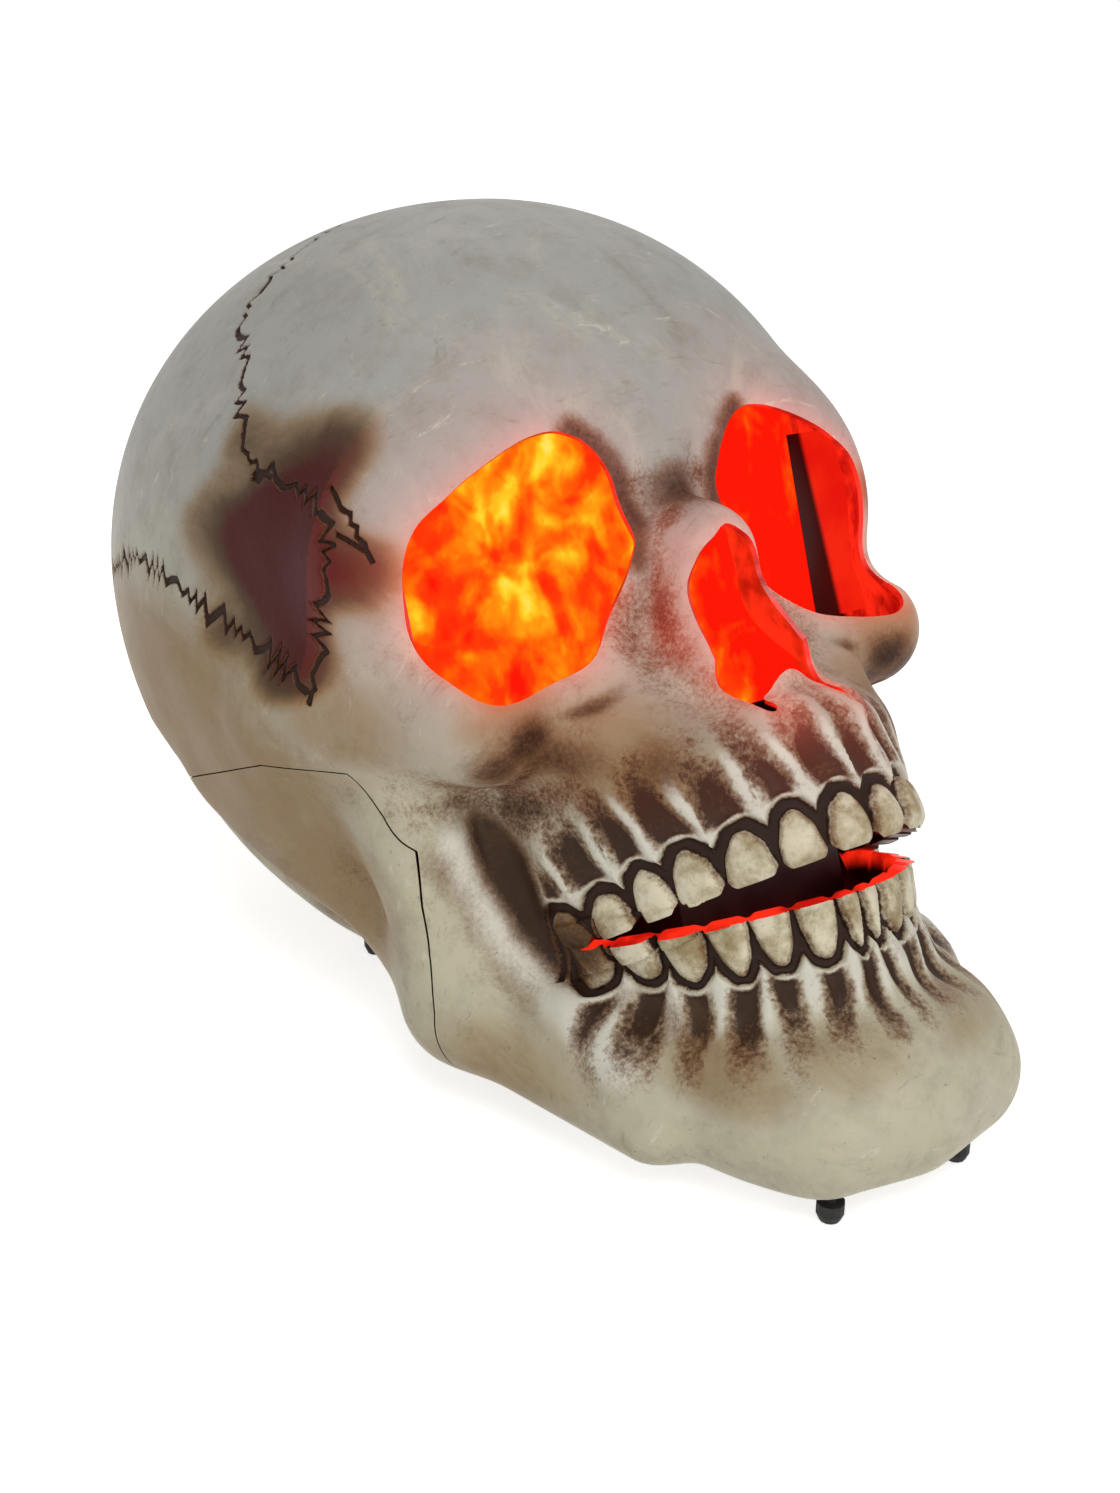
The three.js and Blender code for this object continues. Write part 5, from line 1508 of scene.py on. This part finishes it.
# Which material each of the other nodes wears
WEARS = {
    "black_housing": ("projector_box", "projector_lid", "switch_body"),
    "matt_black": ("projector_stand", "cell_tray", "switch_knob"),
    "rubber_foot": [f"{end}_foot_{side}" for end in ("front", "rear") for side in ("left", "right")],
    "zinc_steel": ["drive_motor", "wheel_axle"] + [f"shell_screw_{number}" for number in range(1, 5)],
    "brass_strip": ("contact_front", "contact_rear"),
    "green_board": ("lamp_board", "control_board"),
    "clear_lens": ("projector_lens",),
    "raw_alloy": ("heat_sink",),
    "white_nylon": ("motor_pinion",),
    "wheel_film": ("flame_wheel",),
}


def wear(material, names):
    for name in names:
        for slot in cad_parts[name].material_slots:
            slot.link = "OBJECT"
            slot.material = material


def dress_nodes(bone):
    for name, names in WEARS.items():
        wear(plain_material(name, **PLAIN_LOOKS[name]), names)
    wear(bone, ("battery_door",))
    wear(flame_material(), ("flame_screen",))
    wear(rail_material(), ("screen_rail_left", "screen_rail_right"))
    wear(lamp_material(), ("flame_lamp",))
    wear(cell_material(), [f"cell_{number}" for number in range(1, 5)])


# Camera, light and floor
FOCAL_PIXELS = 1700.0
FRAME_WIDTH = 1120
SENSOR_WIDTH = 36.0
CLIP_START = 0.01
CAMERA_AT = (-0.457, -0.650, 0.435)
AZIMUTH = -35.0
ELEVATION = 21.6
LIGHT_TARGET = (0, 0, 0.18)
LIGHTS = {
    "key": {"energy": 19.5, "size": 1.0, "place": (-0.7, -1.4, 2.05)},
    "front": {"energy": 11.5, "size": 0.8, "place": (0.4, -2.2, 0.2)},
    "fill": {"energy": 6, "size": 1.6, "place": (-1.9, -0.6, 0.9)},
    "back": {"energy": 7, "size": 1.4, "place": (0.9, 1.4, 1.8)},
}
WORLD_LIGHT = 0.17
FLOOR_REACH = 12.0
FLOOR_BELOW = 0.0006
FLOOR_GREY = (0.93, 0.93, 0.93)
FLOOR_ROUGHNESS = 0.9
FLOOR_WHITE = (0.25, 0.8, 0.72, 1.0)


def place_camera():
    data = bpy.data.cameras.new("camera")
    camera = bpy.data.objects.new("camera", data)
    bpy.context.collection.objects.link(camera)
    data.sensor_fit = "HORIZONTAL"
    data.sensor_width = SENSOR_WIDTH
    data.lens = FOCAL_PIXELS / FRAME_WIDTH * data.sensor_width
    data.clip_start = CLIP_START
    a = math.radians(AZIMUTH)
    e = math.radians(ELEVATION)
    back = Vector((math.sin(a) * math.cos(e), -math.cos(a) * math.cos(e), math.sin(e)))
    right = Vector((math.cos(a), math.sin(a), 0))
    up = back.cross(right)
    turn = Matrix((right, up, back)).transposed().to_4x4()
    place = Vector((CAMERA_AT[0], CAMERA_AT[1] + SHIFT, CAMERA_AT[2]))
    camera.matrix_world = Matrix.Translation(place) @ turn
    bpy.context.scene.camera = camera


def add_light(name, energy, size, place):
    data = bpy.data.lights.new(name, "AREA")
    data.energy = energy
    data.size = size
    light = bpy.data.objects.new(name, data)
    bpy.context.collection.objects.link(light)
    light.location = place
    direction = Vector(LIGHT_TARGET) - Vector(place)
    light.rotation_euler = direction.to_track_quat("-Z", "Y").to_euler()


def white_for_camera(look):
    """Rays straight from the camera, through clear pieces and off glossy ones see plain white."""
    path = look.add("ShaderNodeLightPath").outputs
    seen = look.plus(look.plus(path["Is Camera Ray"], path["Is Transmission Ray"]), path["Is Glossy Ray"])
    return look.maths("MINIMUM", seen, 1.0)


def add_world():
    look = Look(bpy.data.worlds.new("studio"))
    bpy.context.scene.world = look.owner
    strength = look.add("ShaderNodeMapRange", {"Value": white_for_camera(look), "To Min": WORLD_LIGHT})
    look.put(look.nodes["Background"], {"Strength": strength.outputs["Result"], "Color": WHITE})


def add_floor():
    corners = ((-1, -1), (1, -1), (1, 1), (-1, 1))
    points = [(x * FLOOR_REACH, y * FLOOR_REACH, -FLOOR_BELOW) for x, y in corners]
    look = new_look("pale_floor")
    away = look.add("ShaderNodeVectorMath", {0: look.place()}, operation="LENGTH")
    white = look.ranged(away.outputs["Value"], *FLOOR_WHITE)
    look.shine(look.mixed(look.times(white_for_camera(look), white), BLACK, WHITE))
    look.surface({"Base Color": FLOOR_GREY, "Roughness": FLOOR_ROUGHNESS})
    make_mesh("floor", points, [(0, 1, 2, 3)], [look.owner])


def light_scene():
    bpy.context.scene.view_settings.view_transform = "Standard"
    for name, light in LIGHTS.items():
        add_light(name, **light)
    add_world()
    add_floor()


dress_nodes(dress_skull())
place_camera()
light_scene()
